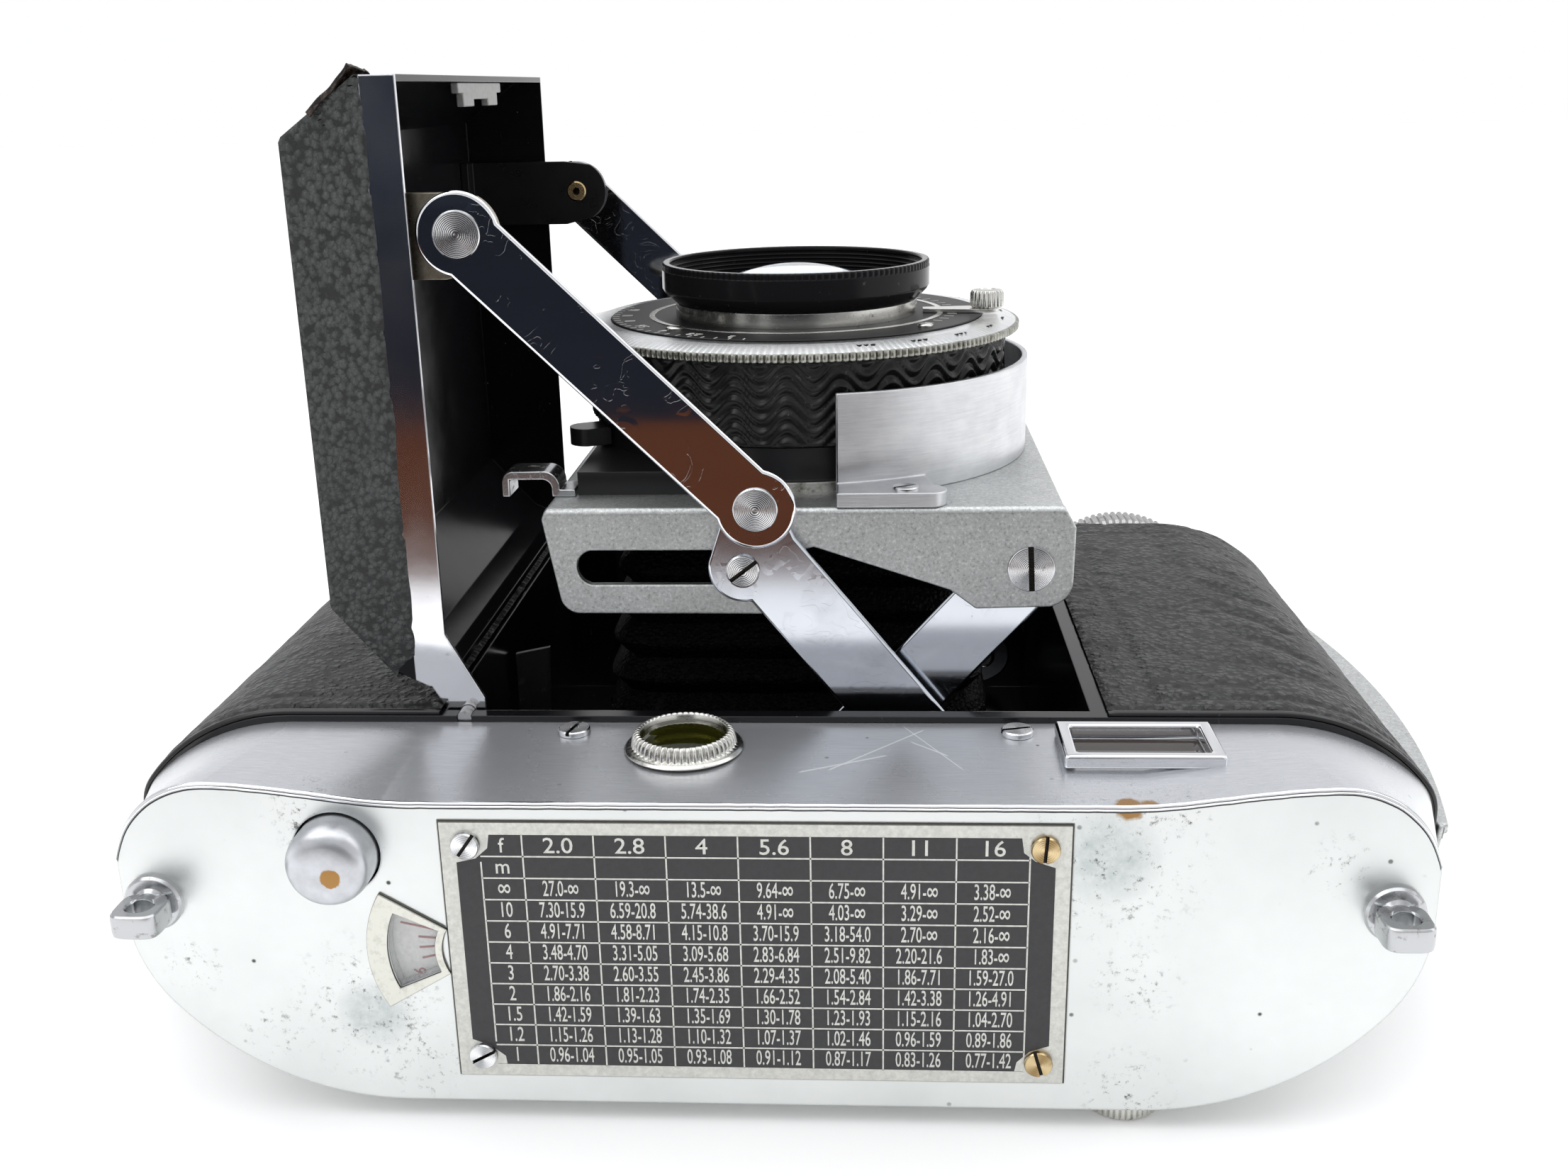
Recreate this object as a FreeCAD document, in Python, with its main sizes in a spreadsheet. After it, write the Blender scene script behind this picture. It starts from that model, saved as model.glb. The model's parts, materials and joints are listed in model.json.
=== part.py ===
import FreeCAD, Part
import math
import os
import re
import Sketcher

# A 35 mm strut-folding camera, lying on its back with the door open and the lens out.
# X runs along the body, +Y points from the top plate to the base plate and +Z points out
# of the lens. The origin lies on the lens axis, in the plane that the camera rests on.
# Every piece is drawn from the back plane of the chrome housing, rest_lift above it.

SIZES = {
    # whole camera
    "rest_lift": 2.0, "mid_x": -1.23, "near_y": -50.06, "join_y": -33.2, "far_y": 33.2,
    "base_y": 38.5, "base_thick": 3.4, "skin_thick": 0.6, "cover_thick": 1.2,
    "split_z": 10.0, "play_gap": 0.3,
    # front and back planes of the leather body and the chrome band
    "body_front": 31.5, "body_back": -2.0, "band_front": 30.3, "plate_flat": 29.9,
    # well behind the door
    "well_left": -33.0, "well_right": 28.65, "well_y": 31.7, "well_floor": 8.5,
    "floor_back": 4.0, "wall_thick": 1.5,
    # film chambers and film path
    "supply_x": -48.0, "supply_r": 13.0, "takeup_x": 42.3, "takeup_r": 11.6, "takeup_z": 17.8,
    "supply_z": 15.6, "roller_x": 27.4, "roller_z": 5.4, "roller_r": 1.9, "film_half": 17.4,
    "gate_x": 24.0, "gate_y": 17.0, "frame_x": 18.0, "frame_y": 12.0,
    # top plate fittings
    "button_x": -38.5, "button_z": 25.0, "button_r": 3.7, "button_rise": 3.7,
    "table_left": -29.2, "table_right": 24.9, "table_low": 2.9, "table_high": 28.1,
    "table_sink": 0.35, "table_screw_r": 1.25, "lug_left": -55.3, "lug_right": 52.2,
    "lug_z": 20.2, "lug_base_r": 2.6, "lug_reach": 5.0, "lug_eye_r": 1.15,
    "counter_x": -25.6, "counter_z": 15.5, "counter_r": 9.5,
    # viewing windows
    "finder_x": -9.15, "finder_y": -38.8, "finder_r": 3.97, "finder_ring": 4.7,
    "window_left": 24.9, "window_right": 39.0, "window_near": -43.6, "window_far": -35.6,
    "window_rise": 1.3, "eye_x": 30.9, "eye_y": -45.6, "eye_r": 3.6,
    # door
    "hinge_x": -31.0, "hinge_z": 30.6, "door_y": 31.35, "door_wall": 0.4, "door_face": -32.7,
    "door_outer": -43.6, "door_top": 89.4, "rim_edge": -35.5,
    "catch_x": -33.6, "catch_mid": 87.7, "catch_low": 86.4,
    # struts and links, as pivot places and layers counted from the middle plane
    "strut_ax": -28.6, "strut_az": 75.8, "strut_bx": -2.7, "strut_bz": 50.5,
    "slide_x": -4.1, "slide_z": 44.2, "cross_x": 23.1, "cross_z": 44.0,
    "foot_x": 23.1, "foot_z": 14.0, "rail_x": -4.1, "rail_z": 13.8,
    "slide_pin_r": 0.5, "rail_left": -19.5,
    "strut_in": 29.95, "strut_out": 30.65, "link_in": 28.7, "link_out": 29.4,
    "plate_in": 27.4, "plate_out": 28.4, "cross_in": 26.4, "cross_out": 27.1,
    "slot_half": 1.7, "slot_left": -20.5, "slot_end_r": 1.75,
    # lens, measured along its axis
    "deck_z": 50.0, "deck_left": -22.9, "deck_right": 26.1,
    "grip_low": 54.4, "grip_high": 62.7, "grip_r": 22.5, "core_r": 20.0,
    "speed_low": 62.85, "speed_high": 64.17, "speed_r": 23.9, "face_r": 21.7,
    "face_high": 64.5, "neck_r": 13.0, "neck_high": 66.1, "front_r": 14.35,
    "front_low": 67.35, "front_high": 70.14, "filter_r": 13.5, "glass_r": 10.8,
    "guard_out": 24.9, "guard_in": 24.3, "guard_high": 60.1,
    # knobs on the base
    "wind_r": 12.4, "rewind_r": 8.0, "shaft_r": 2.2,
    "knob_deep": 6.0, "bush_r": 3.175, "bush_x": 0.0, "bush_z": 14.0,
    "back_pivot_x": -61.4, "back_pivot_z": 9.4, "strip_low": 2.5, "strip_high": 19.6,
    "lip_low": 18.5, "lip_in": 62.3, "lip_end": 63.0, "lip_half": 32.2, "lip_bow": 131.6,
}


def two_arc_corner(name, flat, half, height, tight):
    """Sizes of a corner made of a broad arc off the flat and a tight arc up to the side."""
    broad = ((half - tight - flat) ** 2 + height ** 2 - tight ** 2) / (2 * (height - tight))
    SIZES[name + "_flat"] = flat
    SIZES[name + "_half"] = half
    SIZES[name + "_height"] = height
    SIZES[name + "_tight"] = tight
    SIZES[name + "_broad"] = broad
    SIZES[name + "_lean_x"] = (half - tight - flat) / (broad - tight)
    SIZES[name + "_lean_z"] = (broad - height) / (broad - tight)


two_arc_corner("body_heel", 33.0, 62.9, 22.5, 16.0)
two_arc_corner("body_brow", 47.0, 62.9, 10.4, 5.0)
two_arc_corner("plate_heel", 33.0, 57.0, 19.0, 14.5)
two_arc_corner("plate_brow", 48.5, 57.0, 8.0, 5.0)
two_arc_corner("join_heel", 33.0, 62.1, 20.5, 16.0)
two_arc_corner("join_brow", 46.5, 62.1, 9.2, 5.0)

doc = FreeCAD.newDocument("FoldingCamera")
sheet = doc.addObject("Spreadsheet::Sheet", "Sizes")
for row, (alias, number) in enumerate(SIZES.items(), start=1):
    sheet.set("A%d" % row, alias)
    sheet.set("B%d" % row, "%.6g" % number)
    sheet.setAlias("B%d" % row, alias)
doc.recompute()

PIECES = []
BAND_SCREWS = ("-19.9", "21.5")
TURNS = {
    "Z": FreeCAD.Rotation(),
    "-Z": FreeCAD.Rotation(FreeCAD.Vector(1, 0, 0), 180),
    "Y": FreeCAD.Rotation(FreeCAD.Vector(1, 0, 0), -90),
    "-Y": FreeCAD.Rotation(FreeCAD.Vector(1, 0, 0), 90),
}


# ---------------------------------------------------------------- drawing helpers

def linked(text):
    """An expression with every size name pointed at the sheet."""
    return re.sub(r"\b([a-z]+(?:_[a-z]+)+)\b", r"Sizes.\1", str(text))


def value(text):
    """The present number of an expression."""
    result = sheet.evalExpression(linked(text))
    return float(getattr(result, "Value", result))


def bind(thing, prop, text):
    """Bind a property to the sheet, or set it where the text is a plain number."""
    thing.setExpression(prop, linked(text))


def piece(label, x=0, y=0, z=0, turn="Z"):
    """A new body whose own Z axis points along turn, standing at x, y, z."""
    body = doc.addObject("PartDesign::Body", label)
    body.Label = label
    body.Placement = FreeCAD.Placement(FreeCAD.Vector(0, 0, 0), TURNS[turn])
    bind(body, "Placement.Base.x", x)
    bind(body, "Placement.Base.y", y)
    bind(body, "Placement.Base.z", "%s + rest_lift" % z)
    PIECES.append(body)
    return body


def origin_item(body, role):
    return [item for item in body.Origin.OriginFeatures if item.Role == role][0]


def sketch_on(body, role, offset):
    """An empty sketch on an origin plane of the body, moved along the plane's normal."""
    sketch = body.newObject("Sketcher::SketchObject", body.Name + "_sketch")
    sketch.AttachmentSupport = [(origin_item(body, role), "")]
    sketch.MapMode = "FlatFace"
    bind(sketch, "AttachmentOffset.Base.z", offset)
    return sketch


def pin_down(sketch, kind, first, where, number, text):
    """Add a named dimension from the sketch origin and bind it to its expression."""
    index = sketch.addConstraint(Sketcher.Constraint(kind, -1, 1, first, where, number))
    sketch.renameConstraint(index, "d%d" % index)
    bind(sketch, "Constraints.d%d" % index, text)


def draw_circle(sketch, x, y, radius):
    centre = FreeCAD.Vector(value(x), value(y), 0)
    circle = Part.Circle(centre, FreeCAD.Vector(0, 0, 1), value(radius))
    geo = sketch.addGeometry(circle)
    pin_down(sketch, "DistanceX", geo, 3, centre.x, x)
    pin_down(sketch, "DistanceY", geo, 3, centre.y, y)
    index = sketch.addConstraint(Sketcher.Constraint("Radius", geo, value(radius)))
    sketch.renameConstraint(index, "r%d" % index)
    bind(sketch, "Constraints.r%d" % index, radius)


def arc_between(start, end, radius):
    """The short arc between two points; its centre is on the left for a positive radius."""
    chord = end - start
    half = chord.Length / 2
    rise = math.sqrt(max(radius * radius - half * half, 0.0))
    side = FreeCAD.Vector(-chord.y, chord.x, 0).normalize()
    centre = (start + end) * 0.5 + side * math.copysign(rise, radius)
    first, last = (start, end) if radius > 0 else (end, start)
    angle_first = math.atan2(first.y - centre.y, first.x - centre.x)
    angle_last = math.atan2(last.y - centre.y, last.x - centre.x)
    circle = Part.Circle(centre, FreeCAD.Vector(0, 0, 1), abs(radius))
    return Part.ArcOfCircle(circle, angle_first, angle_last)


def draw_path(sketch, points):
    """A closed outline. A point's third entry is the radius of the arc to the next point."""
    spots = [FreeCAD.Vector(value(p[0]), value(p[1]), 0) for p in points]
    ends = []
    for index, point in enumerate(points):
        start, end = spots[index], spots[(index + 1) % len(spots)]
        if len(point) == 2:
            geo = sketch.addGeometry(Part.LineSegment(start, end))
            ends.append((geo, 1, 2))
            continue
        radius = value(point[2])
        geo = sketch.addGeometry(arc_between(start, end, radius))
        ends.append((geo, 1, 2) if radius > 0 else (geo, 2, 1))
        index_r = sketch.addConstraint(Sketcher.Constraint("Radius", geo, abs(radius)))
        sketch.renameConstraint(index_r, "r%d" % index_r)
        bind(sketch, "Constraints.r%d" % index_r, "abs(%s)" % point[2])
    for index, (geo, start_pos, end_pos) in enumerate(ends):
        after = ends[(index + 1) % len(ends)]
        sketch.addConstraint(Sketcher.Constraint("Coincident", geo, end_pos, after[0], after[1]))
        pin_down(sketch, "DistanceX", geo, start_pos, spots[index].x, points[index][0])
        pin_down(sketch, "DistanceY", geo, start_pos, spots[index].y, points[index][1])


def box_path(x_low, y_low, x_high, y_high):
    return [(x_low, y_low), (x_high, y_low), (x_high, y_high), (x_low, y_high)]


def feature(body, kind, role, low, high, loops):
    """Pad or pocket the loops between two heights along the plane's normal."""
    sketch = sketch_on(body, role, low)
    for loop in loops:
        if isinstance(loop, tuple):
            draw_circle(sketch, *loop)
        else:
            draw_path(sketch, loop)
    made = body.newObject("PartDesign::" + kind, body.Name + "_" + kind)
    made.Profile = sketch
    made.Reversed = kind == "Pocket"
    bind(made, "Length", "(%s) - (%s)" % (high, low))
    sketch.Visibility = False
    return made


def add_up(body, low, high, *loops):
    """Material between two heights; loops are drawn in X and Y."""
    return feature(body, "Pad", "XY_Plane", low, high, loops)


def cut_up(body, low, high, *loops):
    return feature(body, "Pocket", "XY_Plane", low, high, loops)


def add_through(body, y_low, y_high, *loops):
    """Material between two values of Y; loops are drawn in X and Z."""
    return feature(body, "Pad", "XZ_Plane", "-(%s)" % y_high, "-(%s)" % y_low, loops)


def cut_through(body, y_low, y_high, *loops):
    return feature(body, "Pocket", "XZ_Plane", "-(%s)" % y_high, "-(%s)" % y_low, loops)


def add_both(body, inner, outer, *loops):
    """The same material on the near and on the far side of the middle plane."""
    add_through(body, "-(%s)" % outer, "-(%s)" % inner, *loops)
    add_through(body, inner, outer, *loops)


def cut_both(body, inner, outer, *loops):
    cut_through(body, "-(%s)" % outer, "-(%s)" % inner, *loops)
    cut_through(body, inner, outer, *loops)


def turned(body, *profiles):
    """Solids turned about the body's own Z axis; each profile is drawn as radius, height."""
    for profile in profiles:
        sketch = sketch_on(body, "XZ_Plane", 0)
        draw_path(sketch, profile)
        made = body.newObject("PartDesign::Revolution", body.Name + "_turned")
        made.Profile = sketch
        made.ReferenceAxis = (sketch, ["V_Axis"])
        made.Angle = 360
        sketch.Visibility = False


def ring_path(inner, outer, low, high):
    return [(inner, low), (outer, low), (outer, high), (inner, high)]


def soften(body, radius, chosen):
    """Round the edges of the body's last feature that the test chooses."""
    doc.recompute()
    last = body.Tip
    names = ["Edge%d" % (i + 1) for i, edge in enumerate(last.Shape.Edges) if chosen(edge)]
    made = body.newObject("PartDesign::Fillet", body.Name + "_round")
    made.Base = (last, names)
    bind(made, "Radius", radius)


def runs_along(axis):
    """A test for straight edges along X, Y or Z."""
    def test(edge):
        span = edge.BoundBox
        sides = {"X": span.XLength, "Y": span.YLength, "Z": span.ZLength}
        across = [size for name, size in sides.items() if name != axis]
        return sides[axis] > 1e-4 and max(across) < 1e-4
    return test


# ---------------------------------------------------------------- body outline

def corner_points(name, plane, up, side, inset):
    """Flat end, joint and side end of a corner, drawn inwards by inset.

    up is 1 where the corner rises from the plane and -1 where it drops from it; side is 1
    on the right and -1 on the left. Each point carries the radius of the arc after it.
    """
    inset = "(%s)" % inset
    broad = "(%s_broad - %s)" % (name, inset)
    tight = "%s_tight - %s" % (name, inset)
    flat = ("mid_x + %d*%s_flat" % (side, name), "%s + %d*%s" % (plane, up, inset))
    joint = (
        "mid_x + %d*(%s_flat + %s*%s_lean_x)" % (side, name, broad, name),
        "%s + %d*(%s_broad - %s*%s_lean_z)" % (plane, up, name, broad, name),
    )
    end = ("mid_x + %d*(%s_half - %s)" % (side, name, inset),
           "%s + %d*%s_height" % (plane, up, name))
    return flat, joint, end, broad, tight


def rounded_section(heel, heel_plane, brow, brow_plane, inset, ears=()):
    """Closed outline of the body across its length, with optional points along the front."""
    hf, hj, he, hb, ht = corner_points(heel, heel_plane, 1, 1, inset)
    bf, bj, be, bb, bt = corner_points(brow, brow_plane, -1, 1, inset)
    right = [hf + (hb,), hj + (ht,), he, be + (bt,), bj + (bb,), bf]
    hf, hj, he, hb, ht = corner_points(heel, heel_plane, 1, -1, inset)
    bf, bj, be, bb, bt = corner_points(brow, brow_plane, -1, -1, inset)
    left = [bf + (bb,), bj + (bt,), be, he + (ht,), hj + (hb,), hf]
    front = [("mid_x + %s" % x, "%s - (%s)" % (z, inset)) for x, z in ears]
    front += [("mid_x - %s" % x, "%s - (%s)" % (z, inset)) for x, z in reversed(ears)]
    return right + front + left


def body_section(inset):
    return rounded_section("body_heel", "body_back", "body_brow", "body_front", inset)


def plate_section(inset):
    ears = (("44.0", "31.4"), ("33.0", "plate_flat"))
    return rounded_section("plate_heel", "0", "plate_brow", "31.7", inset, ears)


def join_section(inset):
    ears = (("44.0", "band_front"), ("33.0", "band_front"))
    return rounded_section("join_heel", "0", "join_brow", "band_front", inset, ears)


# ---------------------------------------------------------------- fixed body

def body_casting():
    body = piece("body_casting")
    add_through(body, "join_y", "far_y", body_section("skin_thick"))
    cut_through(body, "join_y - 1", "far_y + 1", box_path("-70", "-10", "70", "split_z + play_gap"))
    inner = "skin_thick + cover_thick + play_gap"
    add_through(body, "join_y", "far_y", body_section(inner))
    for x, z, radius, low, high in (
            ("supply_x", "supply_z", "supply_r", "supply_x", "well_left - wall_thick"),
            ("takeup_x", "takeup_z", "takeup_r", "well_right + wall_thick", "takeup_x")):
        cut_through(body, "-well_y", "well_y", (x, z, radius))
        cut_through(body, "-well_y", "well_y", box_path(low, "-10", high, z))
        cut_through(body, "well_y - 1", "far_y + 1", (x, z, "shaft_r + 0.08"))
    cut_both(body, "well_y - 1", "far_y + 1", ("hinge_x", "hinge_z", "0.72"))
    middle = box_path("well_left - wall_thick", "-10", "well_right + wall_thick", "floor_back")
    cut_through(body, "-well_y", "well_y", middle)
    cut_through(body, "-well_y", "well_y", ("roller_x", "roller_z", "roller_r + play_gap"))
    cut_up(body, "well_floor", "60", box_path("well_left", "-well_y", "well_right", "well_y"))
    hole_x, hole_y = "gate_x + 0.1", "gate_y + 0.1"
    cut_up(body, "-10", "20", box_path("-(%s)" % hole_x, "-(%s)" % hole_y, hole_x, hole_y))


def leather_wrap(label, side):
    """Leather round one end, from the door well to the edge of the back cover."""
    body = piece(label)
    add_through(body, "join_y + 0.1", "far_y - 0.1", body_section("0"))
    cut_through(body, "join_y - 1", "far_y + 1", body_section("skin_thick"))
    cut_through(body, "join_y - 1", "far_y + 1", box_path("-70", "-10", "70", "split_z + play_gap"))
    limits = ("well_left - 0.4", "70") if side < 0 else ("-70", "well_right + wall_thick + 0.1")
    cut_through(body, "join_y - 1", "far_y + 1", box_path(limits[0], "-20", limits[1], "60"))


def top_housing():
    body = piece("top_housing")
    for kind, inset, near in (("AdditiveLoft", "0", "near_y"),
                              ("SubtractiveLoft", "1.2", "near_y + 1.3")):
        first = sketch_on(body, "XZ_Plane", "-(%s)" % near)
        draw_path(first, plate_section(inset))
        last = sketch_on(body, "XZ_Plane", "-(join_y - 0.05)")
        draw_path(last, join_section(inset))
        made = body.newObject("PartDesign::" + kind, body.Name + "_" + kind)
        made.Profile = first
        made.Sections = [last]
        made.Ruled = True
    table = box_path("table_left - 0.15", "table_low - 0.15", "table_right + 0.15",
                     "table_high + 0.15")
    cut_through(body, "near_y - 1", "near_y + table_sink", table)
    cut_through(body, "near_y - 1", "near_y + 3", ("button_x", "button_z", "button_r + 0.2"))
    cut_through(body, "near_y - 1", "near_y + 3", counter_path(5.0, 9.2, 24))
    for x, z in table_screw_places():
        cut_through(body, "near_y - 1", "near_y + 3", (x, z, "0.65"))
    for x in ("lug_left", "lug_right"):
        cut_through(body, "near_y - 1", "near_y + 3", (x, "lug_z", "1.35"))
    cut_up(body, "20", "40", ("finder_x", "finder_y", "finder_r + 0.05"))
    window = box_path("window_left + 1.2", "window_near + 1.0", "window_right - 1.2",
                      "window_far - 1.0")
    cut_up(body, "20", "40", window)
    cut_up(body, "-5", "10", ("eye_x", "eye_y", "eye_r - 0.55"))
    for x in BAND_SCREWS:
        cut_up(body, "20", "40", (x, "-35.6", "0.65"))


def counter_path(inner, outer, spread):
    """Sector window of the frame counter, about the dial's own centre."""
    places = []
    for radius, angle in ((outer, -spread), (outer, spread), (inner, spread), (inner, -spread)):
        places.append(("counter_x - %s*cos(%s)" % (radius, angle),
                       "counter_z - %s*sin(%s)" % (radius, angle)))
    places[0] += (outer,)
    places[2] += (-inner,)
    return places


def table_screw_places():
    return [(x, z) for x in ("table_left + 2.2", "table_right - 2.2")
            for z in ("table_low + 2.1", "table_high - 2.1")]


def base_plate():
    body = piece("base_plate")
    add_through(body, "far_y + 0.05", "base_y", join_section("0.8"))
    cut_through(body, "far_y - 1", "base_y - base_thick", join_section("2.0"))
    for x, z, radius in (("takeup_x", "takeup_z", "shaft_r + 0.08"),
                         ("supply_x", "supply_z", "shaft_r + 0.08"),
                         ("bush_x", "bush_z", "4.95")):
        cut_through(body, "far_y - 1", "base_y + 1", (x, z, radius))


def top_fittings():
    table = piece("distance_table")
    loops = [box_path("table_left", "table_low", "table_right", "table_high")]
    loops += [(x, z, "0.65") for x, z in table_screw_places()]
    add_through(table, "near_y - 0.25", "near_y + table_sink", *loops)
    screws = piece("cover_screws")
    heads = [(x, z, "table_screw_r") for x, z in table_screw_places()]
    add_through(screws, "near_y - 0.75", "near_y - 0.25", *heads)
    shanks = [(x, z, "0.6") for x, z in table_screw_places()]
    add_through(screws, "near_y - 0.25", "near_y + 2.4", *shanks)
    for x, z in table_screw_places():
        slot = box_path(x + " - 2", z + " - 0.14", x + " + 2", z + " + 0.14")
        cut_through(screws, "near_y - 1", "near_y - 0.5", slot)
    for x in BAND_SCREWS:
        add_up(screws, "band_front", "band_front + 0.5", (x, "-35.6", "1.5"))
        add_up(screws, "band_front - 2.5", "band_front", (x, "-35.6", "0.6"))
        slot = box_path(x + " - 2", "-35.76", x + " + 2", "-35.44")
        cut_up(screws, "band_front + 0.25", "band_front + 2", slot)
    frame = piece("counter_frame")
    add_through(frame, "near_y - 0.3", "near_y", counter_path(4.3, 11.1, 31),
                counter_path(5.0, 9.2, 24))
    dial = piece("counter_dial")
    add_through(dial, "near_y + 1.5", "near_y + 1.9", ("counter_x", "counter_z", "counter_r"))
    add_through(dial, "near_y + 1.9", "near_y + 5", ("counter_x", "counter_z", "1.5"))


def strap_lugs():
    """Round foot, stem and an eye whose hole runs along Z."""
    body = piece("strap_lugs")
    for x in ("lug_left", "lug_right"):
        add_through(body, "near_y - 0.8", "near_y", (x, "lug_z", "lug_base_r"))
        add_through(body, "near_y", "near_y + 2.5", (x, "lug_z", "1.3"))
        add_through(body, "near_y - 2.4", "near_y - 0.8", (x, "lug_z", "1.1"))
        eye_y = "near_y - lug_reach + 2.2"
        add_up(body, "lug_z - 1.0", "lug_z + 1.0", (x, eye_y, "2.3"))
        cut_up(body, "lug_z - 2", "lug_z + 2", (x, eye_y, "lug_eye_r"))


def finder_fittings():
    ring = piece("rangefinder_ring", "finder_x", "finder_y", "band_front")
    turned(ring, [("finder_r", "0"), ("5.5", "0"), ("5.2", "0.5"), ("finder_ring", "0.5"),
                  ("finder_ring", "1.9"), ("finder_r + 0.25", "2.2"), ("finder_r", "1.9")])
    frame = piece("viewfinder_frame")
    outer = box_path("window_left", "window_near", "window_right", "window_far")
    inner = box_path("window_left + 1.2", "window_near + 1.0", "window_right - 1.2",
                     "window_far - 1.0")
    add_up(frame, "band_front", "band_front + window_rise", outer, inner)
    soften(frame, "0.3", lambda edge: edge.BoundBox.ZMax > value("band_front + 1")
           and edge.BoundBox.ZLength < 0.01)
    glass = piece("window_glasses")
    pane = box_path("window_left + 1.25", "window_near + 1.05", "window_right - 1.25",
                    "window_far - 1.05")
    add_up(glass, "band_front - 0.8", "band_front - 0.1", pane)
    round_pane = ("finder_x", "finder_y", "finder_r - 0.02")
    add_up(glass, "band_front - 1.4", "band_front + 1.0", round_pane)
    add_up(glass, "-0.4", "0.8", ("eye_x", "eye_y", "eye_r - 1.05"))
    add_through(glass, "near_y + 0.1", "near_y + 0.5", counter_path(5.1, 9.1, 23))
    prism = piece("rangefinder_prism")
    add_up(prism, "9", "27.5", box_path("-13.6", "-42.6", "-4.7", "-35.4"))
    eye = piece("eyepiece_ring", "eye_x", "eye_y")
    turned(eye, [("eye_r - 1.0", "-1.9"), ("eye_r - 0.2", "-1.9"), ("eye_r", "-1.6"),
                 ("eye_r", "0"), ("eye_r - 0.6", "0"), ("eye_r - 0.6", "2.2"),
                 ("eye_r - 1.0", "2.2")])


def release_button():
    body = piece("release_button", "button_x", "near_y", "button_z", "-Y")
    turned(body, [("0", "-4.5"), ("1.6", "-4.5"), ("1.6", "-1.8"), ("button_r", "-1.8"),
                  ("button_r", "button_rise - 0.7"), ("button_r - 0.7", "button_rise"),
                  ("0", "button_rise")])


def film_parts():
    gate = piece("film_gate")
    outer = box_path("-gate_x", "-gate_y", "gate_x", "gate_y")
    inner = box_path("-frame_x", "-frame_y", "frame_x", "frame_y")
    add_up(gate, "floor_back - 0.3", "well_floor - 0.4", outer, inner)
    spool = piece("takeup_spool", "takeup_x", "0", "takeup_z", "Y")
    turned(spool, [("0", "-30.6"), ("10.6", "-30.6"), ("10.6", "-29.6"), ("5.6", "-29.6"),
                   ("5.6", "29.6"), ("10.6", "29.6"), ("10.6", "30.6"), ("0", "30.6")])
    roller = piece("film_roller", "roller_x", "0", "roller_z", "Y")
    turned(roller, [("0", "-30"), ("0.8", "-30"), ("0.8", "-film_half"), ("roller_r", "-film_half"),
                    ("roller_r", "-14"), ("1.2", "-14"), ("1.2", "14"), ("roller_r", "14"),
                    ("roller_r", "film_half"), ("0.8", "film_half"), ("0.8", "30"), ("0", "30")])
    for label, x, z, radius in (("wind_knob", "takeup_x", "takeup_z", "wind_r"),
                                ("rewind_knob", "supply_x", "supply_z", "rewind_r")):
        knob = piece(label, x, "base_y", z, "Y")
        turned(knob, [("0", "-7.8"), ("shaft_r", "-7.8"), ("shaft_r", "0.3"), (radius, "0.3"),
                      (radius, "knob_deep - 0.6"), (radius + " - 0.6", "knob_deep"),
                      ("0", "knob_deep")])


def tripod_bush():
    body = piece("tripod_bush", "bush_x", "base_y", "bush_z", "Y")
    turned(body, [("bush_r", "-4.2"), ("4.9", "-4.2"), ("4.9", "0"), ("6.2", "0"),
                  ("6.2", "0.5"), ("bush_r", "0.5")])


# ---------------------------------------------------------------- door

def door_parts():
    pan = piece("door_pan")
    outline = [("door_face", "33.2"), ("door_face", "door_top"), ("-36.2", "door_top"),
               ("door_outer + skin_thick", "84.4"), ("door_outer + skin_thick", "41.0"),
               ("-37.4", "34.6"), ("-34.6", "33.2")]
    add_through(pan, "-door_y", "door_y", outline)
    hollow = [("door_face + 1", "33.9"), ("door_face + 1", "door_top - 0.6"),
              ("-36.0", "door_top - 0.6"), ("door_outer + skin_thick*2", "84.1"),
              ("door_outer + skin_thick*2", "41.2"), ("-36.9", "35.0"), ("-34.4", "33.9")]
    cut_through(pan, "-(door_y - door_wall)", "door_y - door_wall", hollow)
    cheek = [("door_face", "38.5"), ("-29.3", "32.0"), ("hinge_x + 1.7", "hinge_z - 0.9"),
             ("hinge_x - 1.4", "hinge_z - 0.9"), ("-34.6", "33.6")]
    add_both(pan, "door_y - door_wall", "door_y", cheek, ("hinge_x", "hinge_z", "0.75"))


def door_skin():
    """Leather over the face of the door and both its sides, short of the chrome rim."""
    body = piece("door_leather")
    outer = [("-36.3", "door_top + 0.1"), ("door_outer", "84.2"), ("door_outer", "41.2"),
             ("-37.7", "34.1"), ("-37.4", "34.6"), ("door_outer + skin_thick", "41.0"),
             ("door_outer + skin_thick", "84.4"), ("-36.2", "door_top")]
    add_through(body, "-door_y", "door_y", outer)
    side = [("rim_edge", "36.4"), ("rim_edge", "door_top"), ("-36.3", "door_top + 0.1"),
            ("door_outer", "84.2"), ("door_outer", "41.2"), ("-37.7", "34.1")]
    add_both(body, "door_y", "door_y + 0.2", side)


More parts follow.
